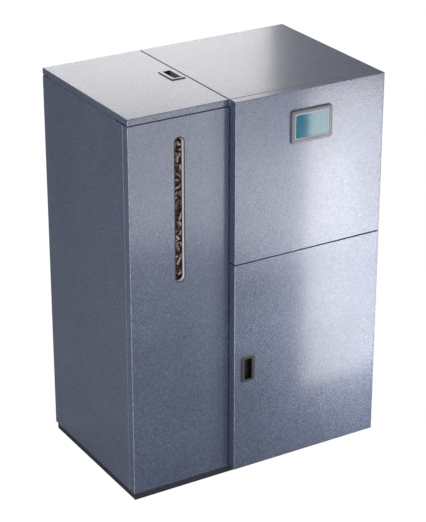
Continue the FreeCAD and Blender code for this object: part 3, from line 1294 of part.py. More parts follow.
ROCKER_CAVITY = "(rocker_half + rocker_slack)"
ROCKER_SIDE = "(rocker_width / 2 + free_gap)"
ROCKER_Y = f"({REAR} + free_gap)"
ROCKER_PIN = "(rocker_width + 2 * rocker_pin_radius)"
node(cut(
    fuse(
        box(SWITCH_X, (REAR, f"{REAR} + switch_flange"), SWITCH_Z),
        box(SWITCH_BODY_X, (f"{REAR} - switch_depth", REAR), SWITCH_BODY_Z),
    ),
    box((f"{GLAND_X} - {ROCKER_SIDE}", f"{GLAND_X} + {ROCKER_SIDE}"),
        (f"{ROCKER_Y} - {ROCKER_CAVITY}", f"{REAR} + switch_flange"),
        (f"{SWITCH_HEIGHT} - {ROCKER_CAVITY}", f"{SWITCH_HEIGHT} + {ROCKER_CAVITY}")),
    rod("x", "rocker_pin_radius + running_fit",
        (f"{GLAND_X} - {ROCKER_PIN} / 2 - free_gap", ROCKER_Y, SWITCH_HEIGHT), f"{ROCKER_PIN} + 2 * free_gap"),
), "main_switch")
rocker = body(f"{GLAND_X} - rocker_width / 2", ROCKER_Y, SWITCH_HEIGHT)
outline(sketch(rocker, "YZ_Plane"), [
    ("-rocker_back", "-rocker_waist"),
    ("rocker_high", "-rocker_half"),
    ("rocker_middle", "0"),
    ("rocker_low", "rocker_half"),
    ("-rocker_back", "rocker_waist"),
])
pad(rocker, rocker.Group[-1], "rocker_width")
node(fuse(
    rocker,
    rod("x", "rocker_pin_radius", (f"{GLAND_X} - {ROCKER_PIN} / 2", ROCKER_Y, SWITCH_HEIGHT), ROCKER_PIN),
), "switch_rocker")

# Every object is sound before anything is written
doc.recompute()
for item in doc.Objects:
    if "Invalid" in item.State or "Error" in item.State:
        raise RuntimeError(f"{item.Label} failed: {item.State}")
for item in NODES:
    if item.Shape.isNull() or not item.Shape.isValid() or not item.Shape.Solids:
        raise RuntimeError(f"{item.Label} is not a sound solid")
os.makedirs("parts", exist_ok=True)
for item in NODES:
    item.Shape.exportStep(f"parts/{item.Label}.step")
print(f"{len(NODES)} pieces written")
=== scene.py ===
import json
import math
import random

import bpy
from mathutils import Euler, Matrix, Vector

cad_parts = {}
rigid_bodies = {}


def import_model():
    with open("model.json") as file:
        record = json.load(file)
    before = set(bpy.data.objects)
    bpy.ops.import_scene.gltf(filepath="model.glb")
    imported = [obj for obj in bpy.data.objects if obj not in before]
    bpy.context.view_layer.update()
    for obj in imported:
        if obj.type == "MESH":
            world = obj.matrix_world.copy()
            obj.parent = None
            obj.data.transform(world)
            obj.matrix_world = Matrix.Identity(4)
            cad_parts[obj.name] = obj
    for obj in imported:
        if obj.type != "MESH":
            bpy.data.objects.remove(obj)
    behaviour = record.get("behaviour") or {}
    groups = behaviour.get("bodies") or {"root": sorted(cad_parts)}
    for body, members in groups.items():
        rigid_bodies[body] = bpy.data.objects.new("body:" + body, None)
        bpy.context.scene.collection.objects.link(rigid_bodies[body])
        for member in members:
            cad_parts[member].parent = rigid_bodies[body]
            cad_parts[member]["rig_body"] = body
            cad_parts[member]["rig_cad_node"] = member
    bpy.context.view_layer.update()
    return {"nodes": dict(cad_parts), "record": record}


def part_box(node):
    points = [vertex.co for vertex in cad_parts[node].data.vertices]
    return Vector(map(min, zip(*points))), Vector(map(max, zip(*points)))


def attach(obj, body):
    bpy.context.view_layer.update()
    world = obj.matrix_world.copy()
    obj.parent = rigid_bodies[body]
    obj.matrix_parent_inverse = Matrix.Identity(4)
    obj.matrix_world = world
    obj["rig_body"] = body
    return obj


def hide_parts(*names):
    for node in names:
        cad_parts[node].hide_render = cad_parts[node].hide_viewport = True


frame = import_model()
nodes = frame["nodes"]


# Shader building: values that add up, and one way to make a node
class Value:
    """A socket in a finish's tree. Arithmetic on it adds Math nodes."""

    def __init__(self, finish, socket):
        self.finish = finish
        self.socket = socket

    def maths(self, operation, first, second):
        return self.finish.add("Math", {"operation": operation}, {0: first, 1: second})

    def __add__(self, other):
        return self.maths("ADD", self, other)

    def __sub__(self, other):
        return self.maths("SUBTRACT", self, other)

    def __rsub__(self, other):
        return self.maths("SUBTRACT", other, self)

    def __mul__(self, other):
        return self.maths("MULTIPLY", self, other)

    __radd__ = __add__
    __rmul__ = __mul__


class Finish:
    """A material, or the world, whose nodes are added one call at a time."""

    def __init__(self, name, world=False):
        self.holder = bpy.data.worlds.new(name) if world else bpy.data.materials.new(name)
        self.holder.use_nodes = True
        self.tree = self.holder.node_tree
        self.tree.nodes.clear()

    def add(self, kind, settings=None, sockets=None, output=0):
        """Adds a node: its settings come first, then the values or links of its sockets."""
        made = self.tree.nodes.new("ShaderNode" + kind)
        for name, value in (settings or {}).items():
            if name == "stops":
                self.set_stops(made.color_ramp, value)
            else:
                setattr(made, name, value)
        for name, value in (sockets or {}).items():
            if isinstance(value, Value):
                self.tree.links.new(value.socket, made.inputs[name])
            else:
                made.inputs[name].default_value = value
        return Value(self, made.outputs[output]) if made.outputs else None

    @staticmethod
    def set_stops(ramp, stops):
        while len(ramp.elements) < len(stops):
            ramp.elements.new(1.0)
        for element, (place, colour) in zip(ramp.elements, stops):
            element.position = place
            element.color = (*colour, 1.0)

    def place(self, stretch=(1, 1, 1)):
        """Object coordinates in metres, stretched along an axis where the grain runs."""
        spot = self.add("TexCoord", output="Object")
        return self.add("Mapping", sockets={"Vector": spot, "Scale": stretch})

    def noise(self, scale, detail=3.0, stretch=(1, 1, 1)):
        return self.add("TexNoise", sockets={"Vector": self.place(stretch), "Scale": scale, "Detail": detail})

    def cells(self, scale, output="Distance"):
        return self.add("TexVoronoi", sockets={"Vector": self.place(), "Scale": scale}, output=output)

    def ramp(self, value, *stops):
        return self.add("ValToRGB", {"stops": stops}, {"Fac": value})

    def grey(self, colour):
        return self.add("RGBToBW", sockets={"Color": colour})

    def bump(self, height, strength, distance):
        return self.add("Bump", sockets={"Height": height, "Strength": strength, "Distance": distance})

    def surface(self, **sockets):
        """Closes the material with one Principled shader; underscores stand for spaces in socket names."""
        named = {name.replace("_", " "): value for name, value in sockets.items()}
        shader = self.add("BsdfPrincipled", sockets=named)
        self.add("OutputMaterial", sockets={"Surface": shader})
        return self.holder


# Finishes: paints, sheet, castings, plastics, glass, pellets and lagging
def casing_paint():
    """Metal-flake powder coat: a fine grain that sparkles, with a painted highlight on the upright rounded
    folds.
    """
    finish = Finish("casing_paint")
    fold = finish.add("Attribute", {"attribute_name": "fold"}, output="Fac")
    grain = finish.noise(270.0, 1.0)
    flake = finish.grey(finish.cells(390.0, "Color"))
    cloud = finish.noise(4.0, 2.0)
    # The upright rounded folds are lighter in the tone: a painted highlight
    tone = grain * 0.3 + flake * 0.5 + cloud * 0.2 + fold * 0.36
    colour = finish.ramp(
        tone,
        (0.25, (0.050, 0.064, 0.109)),
        (0.55, (0.101, 0.125, 0.194)),
        (0.76, (0.192, 0.226, 0.312)),
        (1.00, (0.420, 0.475, 0.560)),
    )
    return finish.surface(
        Base_Color=colour,
        Metallic=0.34,
        Roughness=flake * 0.14 + 0.26,
        Specular_Tint=(0.80, 0.80, 0.80, 1.0),
        Coat_Weight=1.0,
        Coat_Roughness=0.19,
        Normal=finish.bump(grain + flake * 0.12, 0.8, 0.0012),
    )


def galvanised_sheet():
    """Zinc-coated sheet with its crystal spangle."""
    finish = Finish("galvanised_sheet")
    spangle = finish.grey(finish.cells(55.0, "Color"))
    haze = finish.noise(14.0)
    tone = spangle * 0.6 + haze * 0.4
    colour = finish.ramp(tone, (0.2, (0.205, 0.210, 0.217)), (0.8, (0.280, 0.285, 0.291)))
    return finish.surface(
        Base_Color=colour,
        Metallic=0.9,
        Roughness=spangle * 0.10 + 0.44,
        Normal=finish.bump(spangle, 0.03, 0.0005),
    )


def drawn_steel():
    """Plain steel with draw marks and stains."""
    finish = Finish("drawn_steel")
    marks = finish.noise(260.0, 4.0, (1, 1, 0.06))
    stain = finish.noise(18.0)
    tone = marks * 0.4 + stain * 0.6
    colour = finish.ramp(tone, (0.25, (0.22, 0.215, 0.21)), (0.75, (0.46, 0.455, 0.45)))
    return finish.surface(
        Base_Color=colour,
        Metallic=0.95,
        Roughness=marks * 0.25 + 0.28,
        Normal=finish.bump(marks, 0.12, 0.0004),
    )


def zinc_plate():
    """Bright zinc on hinges and screws, dulled by handling."""
    finish = Finish("zinc_plate")
    smear = finish.noise(90.0, 4.0)
    colour = finish.ramp(smear, (0.3, (0.42, 0.43, 0.44)), (0.7, (0.62, 0.63, 0.64)))
    return finish.surface(
        Base_Color=colour,
        Metallic=1.0,
        Roughness=smear * 0.3 + 0.2,
        Normal=finish.bump(smear, 0.06, 0.0003),
    )


def stove_black():
    """Heat-resistant black paint, greyed by dust."""
    finish = Finish("stove_black")
    skin = finish.noise(600.0, 3.0)
    dust = finish.noise(9.0, 4.0)
    colour = finish.ramp(dust, (0.35, (0.022, 0.022, 0.024)), (0.8, (0.060, 0.058, 0.056)))
    return finish.surface(
        Base_Color=colour,
        Roughness=dust * 0.25 + 0.5,
        Normal=finish.bump(skin, 0.2, 0.0004),
    )


def cast_iron():
    """Sand-cast iron with a rough skin and rusty hollows."""
    finish = Finish("cast_iron")
    skin = finish.noise(240.0, 6.0)
    rust = finish.noise(30.0, 5.0)
    colour = finish.ramp(
        rust,
        (0.45, (0.045, 0.044, 0.044)),
        (0.62, (0.075, 0.062, 0.052)),
        (0.85, (0.140, 0.075, 0.040)),
    )
    return finish.surface(
        Base_Color=colour,
        Metallic=0.5,
        Roughness=skin * 0.3 + 0.45,
        Normal=finish.bump(skin, 0.5, 0.001),
    )


def motor_enamel():
    """Dark enamel on motor housings."""
    finish = Finish("motor_enamel")
    peel = finish.noise(320.0, 2.0)
    tone = finish.noise(12.0)
    colour = finish.ramp(tone, (0.3, (0.055, 0.062, 0.075)), (0.7, (0.085, 0.094, 0.110)))
    return finish.surface(
        Base_Color=colour,
        Roughness=peel * 0.15 + 0.32,
        Normal=finish.bump(peel, 0.15, 0.0005),
    )


def plinth_paint():
    """Dark satin paint on the plinth, scuffed near the floor."""
    finish = Finish("plinth_paint")
    scuff = finish.noise(70.0, 5.0, (1, 1, 3))
    colour = finish.ramp(scuff, (0.45, (0.023, 0.025, 0.034)), (0.8, (0.050, 0.054, 0.066)))
    return finish.surface(
        Base_Color=colour,
        Metallic=0.2,
        Roughness=scuff * 0.3 + 0.4,
        Normal=finish.bump(scuff, 0.1, 0.0004),
    )


def seal_rubber():
    """Black rubber with a faint bloom."""
    finish = Finish("seal_rubber")
    bloom = finish.noise(110.0, 4.0)
    colour = finish.ramp(bloom, (0.3, (0.012, 0.012, 0.013)), (0.8, (0.035, 0.034, 0.034)))
    return finish.surface(
        Base_Color=colour,
        Roughness=bloom * 0.25 + 0.55,
        Normal=finish.bump(bloom, 0.1, 0.0004),
    )


def moulded_plastic(name, dark, light, dullness, grain, polished=False):
    """Textured plastic. A finger cup's painted shade above 0 darkens it, and below 0 it is painted light that
    makes it paler.
    """
    finish = Finish(name)
    cup = finish.add("Attribute", {"attribute_name": "cup"}, output="Fac")
    pebble = finish.noise(grain, 3.0)
    tone = finish.noise(25.0)
    stops = [(0.0, (0.002, 0.002, 0.002)), (0.3, dark), (0.7, light)]
    # Polished plastic gets a pale stop for a cup painted lit, and loses its coat where a cup's shade is
    # painted
    if polished:
        stops.append((1.0, (0.30, 0.30, 0.30)))
    colour = finish.ramp(tone * 0.7 + pebble * 0.3 - cup, *stops)
    return finish.surface(
        Base_Color=colour,
        Roughness=pebble * 0.2 + dullness,
        Coat_Weight=(1.0 - cup) * 0.75 if polished else 0.0,
        Coat_Roughness=0.1,
        Normal=finish.bump(pebble, 0.14, 0.0003),
    )


def display_glass():
    """Teal display under a glossy cover glass with faint smudges."""
    finish = Finish("display_glass")
    haze = finish.noise(40.0, 2.0)
    smudge = finish.noise(120.0, 4.0)
    colour = finish.ramp(haze, (0.3, (0.006, 0.122, 0.195)), (0.7, (0.010, 0.146, 0.228)))
    return finish.surface(
        Base_Color=colour,
        Roughness=smudge * 0.05 + 0.09,
        Coat_Weight=0.35,
        Coat_Roughness=0.13,
    )


def window_glass():
    """Clear pane with a trace of dust."""
    finish = Finish("window_glass")
    dust = finish.noise(160.0, 5.0)
    trace = finish.grey(finish.ramp(dust, (0.45, (0.004, 0.004, 0.004)), (0.9, (0.018, 0.018, 0.018))))
    return finish.surface(
        Base_Color=(0.80, 0.84, 0.84, 1.0),
        Roughness=dust * 0.05 + 0.03,
        Alpha=trace,
    )


def wood_pellet():
    """Pressed sawdust: each pellet has its own tone, darkest for the deep ones as painted shade, with streaks
    and dark pores.
    """
    finish = Finish("wood_pellet")
    own = finish.add("Attribute", {"attribute_name": "tone"}, output="Fac")
    streak = finish.noise(520.0, 4.0)
    pore = finish.cells(900.0)
    colour = finish.ramp(
        own * 0.72 + streak * 0.28,
        (0.12, (0.010, 0.006, 0.006)),
        (0.40, (0.095, 0.051, 0.043)),
        (0.65, (0.380, 0.245, 0.208)),
        (0.90, (0.800, 0.630, 0.570)),
    )
    return finish.surface(
        Base_Color=colour,
        Roughness=streak * 0.25 + 0.6,
        Normal=finish.bump(streak + pore * 0.5, 0.5, 0.0006),
    )


def pellet_shade():
    """The heap below its top pellets, darkened as painted shade."""
    finish = Finish("pellet_shade")
    lump = finish.noise(150.0, 5.0)
    colour = finish.ramp(lump, (0.4, (0.008, 0.005, 0.004)), (0.8, (0.040, 0.026, 0.020)))
    return finish.surface(
        Base_Color=colour,
        Roughness=lump * 0.1 + 0.85,
        Normal=finish.bump(lump, 0.8, 0.004),
    )


def mineral_wool():
    """Yellowish pressed fibres."""
    finish = Finish("mineral_wool")
    fibre = finish.noise(380.0, 8.0, (1, 1, 0.15))
    layer = finish.noise(45.0, 4.0, (0.3, 0.3, 1))
    tone = fibre * 0.5 + layer * 0.5
    colour = finish.ramp(tone, (0.3, (0.26, 0.22, 0.13)), (0.7, (0.52, 0.46, 0.31)))
    return finish.surface(
        Base_Color=colour,
        Roughness=fibre * 0.1 + 0.88,
        Normal=finish.bump(fibre, 0.8, 0.002),
    )


def heat_board():
    """Pressed ceramic-fibre board, smoked at its face."""
    finish = Finish("heat_board")
    fibre = finish.noise(300.0, 6.0)
    smoke = finish.noise(7.0, 4.0)
    tone = smoke * 0.75 + fibre * 0.25
    colour = finish.ramp(tone, (0.35, (0.16, 0.135, 0.11)), (0.7, (0.62, 0.57, 0.48)))
    return finish.surface(
        Base_Color=colour,
        Roughness=fibre * 0.1 + 0.86,
        Normal=finish.bump(fibre, 0.5, 0.001),
    )


def braided_rope():
    """Grey glass-fibre rope, darkened by soot."""
    finish = Finish("braided_rope")
    thread = finish.noise(900.0, 3.0, (1, 1, 0.3))
    soot = finish.noise(25.0, 4.0)
    tone = thread * 0.4 + soot * 0.6
    colour = finish.ramp(tone, (0.3, (0.17, 0.16, 0.15)), (0.7, (0.55, 0.53, 0.49)))
    return finish.surface(
        Base_Color=colour,
        Roughness=soot * 0.1 + 0.85,
        Normal=finish.bump(thread, 0.6, 0.0006),
    )


TRIM_WHITES = ((0.84, 0.84, 0.85), (0.92, 0.92, 0.93))
BEZEL_GREYS = ((0.108, 0.106, 0.126), (0.146, 0.143, 0.170))
DARK_GREYS = ((0.018, 0.018, 0.017), (0.034, 0.034, 0.032))
CONTROL_GREYS = ((0.060, 0.063, 0.068), (0.090, 0.094, 0.100))
LIP_HIGHLIGHT_BLUES = ((0.38, 0.45, 0.50), (0.46, 0.53, 0.58))
FINISHES = {
    "casing": casing_paint(),
    "plinth": plinth_paint(),
    "sheet_steel": galvanised_sheet(),
    "hinge_steel": zinc_plate(),
    "bare_steel": drawn_steel(),
    "vessel_paint": stove_black(),
    "cast_iron": cast_iron(),
    "motor_paint": motor_enamel(),
    "rubber": seal_rubber(),
    "trim_plastic": moulded_plastic("trim_plastic", *TRIM_WHITES, dullness=0.3, grain=500.0),
    "pane": window_glass(),
    "pellets": wood_pellet(),
    "bezel_plastic": moulded_plastic("bezel_plastic", *BEZEL_GREYS, dullness=0.26, grain=700.0),
    "screen": display_glass(),
    "dark_plastic": moulded_plastic("dark_plastic", *DARK_GREYS, dullness=0.42, grain=600.0),
    "control_plastic": moulded_plastic("control_plastic", *CONTROL_GREYS, dullness=0.4, grain=450.0),
    "mineral_wool": mineral_wool(),
    "heat_board": heat_board(),
    "rope": braided_rope(),
}
PELLET_SHADE = pellet_shade()
# The pulls' plastic carries the cups' painted shade and painted light
PULL_PLASTIC = moulded_plastic("pull_plastic", *DARK_GREYS, dullness=0.25, grain=600.0, polished=True)
# The pale ring round the display glass is a painted highlight on the frame's lip
PAINTED_LIP_HIGHLIGHT = moulded_plastic("painted_lip_highlight", *LIP_HIGHLIGHT_BLUES, dullness=0.3, grain=700.0)

# Every node gets the finish of its slot, and the lid's hinge is painted with the casing
for part in frame["record"]["subparts"]:
    piece = nodes[part["node"]]
    piece.data.materials.clear()
    piece.data.materials.append(FINISHES[part["material_slot"]])
for leaf in ("lid_hinge_fixed_leaf", "lid_hinge_leaf"):
    nodes[leaf].data.materials[0] = FINISHES["casing"]


# Modelling by hand: picking, editing and handing over
X, Y, Z = range(3)
UPRIGHT = Matrix.Rotation(math.radians(90), 4, "X")
REARWARDS = Matrix.Rotation(math.radians(-90), 4, "X")
SAME_CORNER = 0.00001
SAME_LEVEL = 0.00002


def deselect():
    bpy.ops.object.select_all(action="DESELECT")


def choose(*pieces):
    """Selects pieces and makes the last one active."""
    deselect()
    for item in pieces:
        item.select_set(True)
    bpy.context.view_layer.objects.active = pieces[-1]


def middle_of(mesh, item):
    """Where a face, an edge or a corner lies."""
    if isinstance(item, bpy.types.MeshPolygon):
        return item.center
    if isinstance(item, bpy.types.MeshEdge):
        ends = [mesh.vertices[index].co for index in item.vertices]
        return (ends[0] + ends[1]) / 2
    return item.co


def edit(piece, mode, wanted):
    """Opens a piece for editing with the wanted faces, edges or corners selected."""
    choose(piece)
    bpy.ops.object.mode_set(mode="EDIT")
    bpy.ops.mesh.select_mode(type=mode)
    bpy.ops.mesh.select_all(action="DESELECT")
    bpy.ops.object.mode_set(mode="OBJECT")
    mesh = piece.data
    for item in {"FACE": mesh.polygons, "EDGE": mesh.edges, "VERT": mesh.vertices}[mode]:
        item.select = wanted(middle_of(mesh, item), item)
    bpy.ops.object.mode_set(mode="EDIT")


def done():
    """Closes what edit opened."""
    bpy.ops.object.mode_set(mode="OBJECT")


def everything(spot, item):
    return True


def draw_on(move):
    """Extrudes what is selected."""
    bpy.ops.mesh.extrude_region_move(TRANSFORM_OT_translate={"value": move})


def close_up(piece):
    """Merges doubled corners and turns the faces outwards."""
    edit(piece, "VERT", everything)
    bpy.ops.mesh.remove_doubles(threshold=SAME_CORNER)
    bpy.ops.mesh.normals_make_consistent(inside=False)
    done()


def smooth(piece, degrees):
    """Shades a piece smooth across edges that turn by less than some degrees."""
    choose(piece)
    bpy.ops.object.shade_smooth_by_angle(angle=math.radians(degrees))


def finish_with(piece, kind, **settings):
    """Adds a modifier and applies it."""
    choose(piece)
    modifier = piece.modifiers.new(kind.title(), kind)
    for name, value in settings.items():
        setattr(modifier, name, value)
    bpy.ops.object.modifier_apply(modifier=modifier.name)


def copies_at(piece, places):
    """Copies a modelled shape to each place and turn, each with its own mesh, and joins them."""
    made = []
    for place in places:
        copy = piece.copy()
        copy.data = piece.data.copy()
        copy.data.transform(place)
        bpy.context.scene.collection.objects.link(copy)
        made.append(copy)
    bpy.data.objects.remove(piece)
    return join(made)


def join(pieces):
    """Joins pieces into the last one."""
    choose(*pieces)
    bpy.ops.object.join()
    return bpy.context.active_object


def hand_over(piece, name, body, slot, replaced=(), finish=None):
    """Names a finished piece, gives it its finish and lets it ride on its body."""
    piece.name = name
    piece.data.name = name
    piece.data.materials.clear()
    piece.data.materials.append(finish or FINISHES[slot])
    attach(piece, body)
    if replaced:
        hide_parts(*replaced)
    return piece


def block(low, high):
    """A block between two corners."""
    deselect()
    bpy.ops.mesh.primitive_cube_add(size=1.0)
    piece = bpy.context.active_object
    piece.data.transform(Matrix.LocRotScale((low + high) / 2, None, high - low))
    return piece


def drawn_frame(corner, steps):
    """A rectangular ring: its rounded outline is drawn through steps of width, height and lift."""
    deselect()
    bpy.ops.mesh.primitive_plane_add(size=1.0)
    piece = bpy.context.active_object
    width, height, lift = steps[0]
    piece.data.transform(Matrix.LocRotScale((0, 0, lift), None, (width, height, 1.0)))
    edit(piece, "VERT", everything)
    bpy.ops.mesh.bevel(offset=corner, segments=5, affect="VERTICES")
    done()
    edit(piece, "FACE", everything)
    bpy.ops.mesh.delete(type="ONLY_FACE")
    bpy.ops.mesh.select_mode(type="EDGE")
    bpy.ops.mesh.select_all(action="SELECT")
    for next_width, next_height, next_lift in steps[1:] + steps[:1]:
        draw_on((0, 0, next_lift - lift))
        scale = (next_width / width, next_height / height, 1.0)
        bpy.ops.transform.resize(value=scale, center_override=(0, 0, next_lift))
        width, height, lift = next_width, next_height, next_lift
    done()
    close_up(piece)
    smooth(piece, 40)
    return piece


def steps_round(width, height, steps):
    """Outlines for a drawn frame: each stands out from a width and height, at its own lift."""
    return [(width + out, height + out, lift) for out, lift in steps]


def soft_ring(width, height, wall, thick, corner):
    """A rectangular strip of rubber or rope with a rounded back."""
    soft = min(wall, thick) * 0.4
    inner = -wall * 2
    return drawn_frame(corner, steps_round(width, height, [
        (0.0, 0.0),
        (0.0, thick - soft),
        (-soft * 0.6, thick - soft * 0.3),
        (-soft * 2, thick),
        (inner + soft * 2, thick),
        (inner + soft * 0.6, thick - soft * 0.3),
        (inner, thick - soft),
        (inner, 0.0),
    ]))


def copy_of(node):
    """A copy of a CAD node's shape, free to be worked on, with its flat faces made whole."""
    copy = nodes[node].copy()
    copy.data = nodes[node].data.copy()
    copy.parent = None
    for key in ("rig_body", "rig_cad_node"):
        del copy[key]
    bpy.context.scene.collection.objects.link(copy)
    close_up(copy)
    edit(copy, "FACE", everything)
    bpy.ops.mesh.dissolve_limited(angle_limit=math.radians(0.5))
    done()
    return copy


def folded_edge(mesh, edge, low, high, skip):
    """Whether an edge runs along the outside of a sheet's box, away from the sides left open."""
    ends = [mesh.vertices[index].co for index in edge.vertices]
    on = 0
    for axis in (X, Y, Z):
        for side, level in (("low", low[axis]), ("high", high[axis])):
            if all(abs(end[axis] - level) < SAME_LEVEL for end in ends):
                on += 1
                if (axis, side) in skip:
                    return False
    return on == 2


def rounded_casing(node, body, radius, skip):
    """A casing sheet with the radius that folding leaves on its outer edges."""
    low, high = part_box(node)
    piece = copy_of(node)
    edit(piece, "EDGE", lambda spot, item: folded_edge(piece.data, item, low, high, skip))
    bpy.ops.mesh.bevel(offset=radius, segments=3)
    done()
    # Upright rounded faces are marked for the casing paint's painted highlight
    fold = piece.data.attributes.new("fold", "FLOAT", "FACE")
    for face in piece.data.polygons:
        upright = abs(face.normal.z) < 0.01
        rounded = 0.05 < abs(face.normal.x) < 0.998
        fold.data[face.index].value = upright and rounded
    hand_over(piece, node + "_folded", body, "casing", [node])


def turned(profile, corners):
    """A round form: a ring drawn out through steps of radius and height, closed on its first ring."""
    deselect()
    radius, height = profile[0]
    bpy.ops.mesh.primitive_circle_add(vertices=corners, radius=radius, location=(0, 0, height))
    piece = bpy.context.active_object
    bpy.ops.object.transform_apply(location=True)
    edit(piece, "VERT", everything)
    for next_radius, next_height in profile[1:] + profile[:1]:
        draw_on((0, 0, next_height - height))
        scale = next_radius / radius
        bpy.ops.transform.resize(value=(scale, scale, 1.0), center_override=(0, 0, next_height))
        radius, height = next_radius, next_height
    done()
    close_up(piece)
    return piece


# Pellets: one is modelled, then copied over the heap's top and behind the slot window
PELLET_RADIUS = 0.0038
PELLET_LENGTH = 0.020
PELLET_STEP = 0.0112


def model_pellet():
    """A short pressed rod with broken, rounded ends."""
    deselect()
    bpy.ops.mesh.primitive_cylinder_add(vertices=8, radius=PELLET_RADIUS, depth=PELLET_LENGTH)
    pellet = bpy.context.active_object
    edit(pellet, "FACE", lambda spot, item: abs(item.normal.z) > 0.9)
    bpy.ops.mesh.inset(thickness=PELLET_RADIUS * 0.3, depth=PELLET_RADIUS * 0.28)
    done()
    smooth(pellet, 50)
    return pellet


def scatter(places, chance):
    """Copies the pellet to each place, with its own length and tone, and joins the copies."""
    pellet = model_pellet()
    copies = []
    for spot, turn, (dark, light) in places:
        copy = pellet.copy()
        copy.data = pellet.data.copy()
        stretch = chance.uniform(0.5, 1.25)
        copy.data.transform(Matrix.LocRotScale(spot, turn, (1.0, 1.0, stretch)))
        tone = copy.data.attributes.new("tone", "FLOAT", "POINT")
        tone.data.foreach_set("value", [chance.uniform(dark, light)] * len(copy.data.vertices))
        bpy.context.scene.collection.objects.link(copy)
        copies.append(copy)
    bpy.data.objects.remove(pellet)
    return join(copies)


def heap_places(chance, low, high):
    """Places of the pellets that lie on top of the heap, in two loose layers."""
    margin = 0.013
    stray = 0.0025
    rise = 0.0012
    # Depth below the top, tilt, share left out, darkest and lightest tone; the deeper layer is darker as
    # painted shade
    layers = (
        (0.0105, 0.15, 0.1, (0.15, 0.6)),
        (0.0056, 0.26, 0.4, (0.45, 1.0)),
    )
    columns = int((high.x - low.x - margin * 2) / PELLET_STEP)
    rows = int((high.y - low.y - margin * 2) / PELLET_STEP)
    places = []
    for depth, tilt, skip, tones in layers:
        for column in range(columns + 1):
            for row in range(rows + 1):
                if chance.random() < skip:
                    continue
                spot = Vector((
                    low.x + margin + column * PELLET_STEP + chance.uniform(-stray, stray),
                    low.y + margin + row * PELLET_STEP + chance.uniform(-stray, stray),
                    high.z - depth + chance.uniform(-rise, rise),
                ))
                turn = Euler((math.pi / 2 + chance.gauss(0, tilt), 0, chance.uniform(0, math.pi)))
                places.append((spot, turn.to_quaternion(), tones))
    return places


def window_places(chance, middle_x, face_y, low_z, high_z):
    """Places of the pellets that lie against the bin's front behind the slot."""
    columns = (-0.0165, -0.0055, 0.0055, 0.0165)
    stray = 0.004
    tilt = 0.10
    # Depth behind the face, share left out, darkest and lightest tone; the deeper layers are darker as
    # painted shade
    layers = (
        (0.0150, 0.0, (0.0, 0.12)),
        (0.0092, 0.25, (0.0, 0.38)),
        (0.0044, 0.62, (0.36, 1.1)),
    )
    places = []
    for depth, skip, tones in layers:
        z = low_z
        while z < high_z:
            for x in columns:
                if chance.random() < skip:
                    continue
                spot = Vector((
                    middle_x + x + chance.uniform(-stray, stray),
                    face_y + depth + chance.uniform(-0.0003, 0.0010),
                    z + chance.uniform(-stray, stray),
                ))
                turn = Euler((chance.gauss(0, tilt), chance.uniform(0, math.pi), 0))
                places.append((spot, turn.to_quaternion(), tones))
            z += PELLET_STEP
    return places


def pellet_bed(low, high):
    """The heap in painted shade: the bin's filling, drawn in behind the window and let down below the top
    pellets.
    """
    drawn_in = 0.021
    let_down = 0.012
    bed = copy_of("pellet_charge")
    for vertex in bed.data.vertices:
        vertex.co.y = max(vertex.co.y, low.y + drawn_in)
        vertex.co.z = min(vertex.co.z, high.z - let_down)
    return bed


def fill_hopper():
    """Loose pellets on the heap's top and behind the slot window, and the heap under them in painted shade.
    """
    chance = random.Random(7)
    pane_gap = 0.0022
    overrun = 0.004
    low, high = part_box("pellet_charge")
    slot_low, slot_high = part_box("window_trim")
    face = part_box("window_pane")[1].y + pane_gap
    inside = Vector((low.x, face, low.z))
    heap = scatter(heap_places(chance, inside, high), chance)
    hand_over(heap, "heap_pellets", "cabinet", "pellets")
    middle = (slot_low.x + slot_high.x) / 2
    places = window_places(chance, middle, face, slot_low.z - overrun, slot_high.z + overrun)
    hand_over(scatter(places, chance), "window_pellets", "cabinet", "pellets")
    hand_over(pellet_bed(inside, high), "pellet_bed", "cabinet", "pellets", ["pellet_charge"], PELLET_SHADE)


# Seals, rope and lagging
def lid_seal():
    """Rubber strip round the hopper's mouth."""
    wall = 0.008
    corner = 0.006
    low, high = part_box("lid_seal")
    size = high - low
    middle = (low + high) / 2
    seal = soft_ring(size.x, size.y, wall, size.z, corner)
    seal.data.transform(Matrix.Translation((middle.x, middle.y, low.z)))
    hand_over(seal, "lid_seal_rubber", "cabinet", "rubber", ["lid_seal"])


def model_strand():
    """One lozenge of the braid, with blunt tips."""
    half_length = 0.0072
    half_thick = 0.0018
    half_width = 0.0027
    tip = 0.006
    deselect()
    bpy.ops.mesh.primitive_uv_sphere_add(segments=8, ring_count=6, radius=1.0)
    strand = bpy.context.active_object
    strand.data.transform(Matrix.Diagonal((half_length, half_thick, half_width, 1.0)))
    edit(strand, "VERT", lambda spot, item: abs(spot.x) > tip)
    bpy.ops.transform.resize(value=(0.92, 1.0, 1.5))
    done()
    smooth(strand, 60)
    return strand


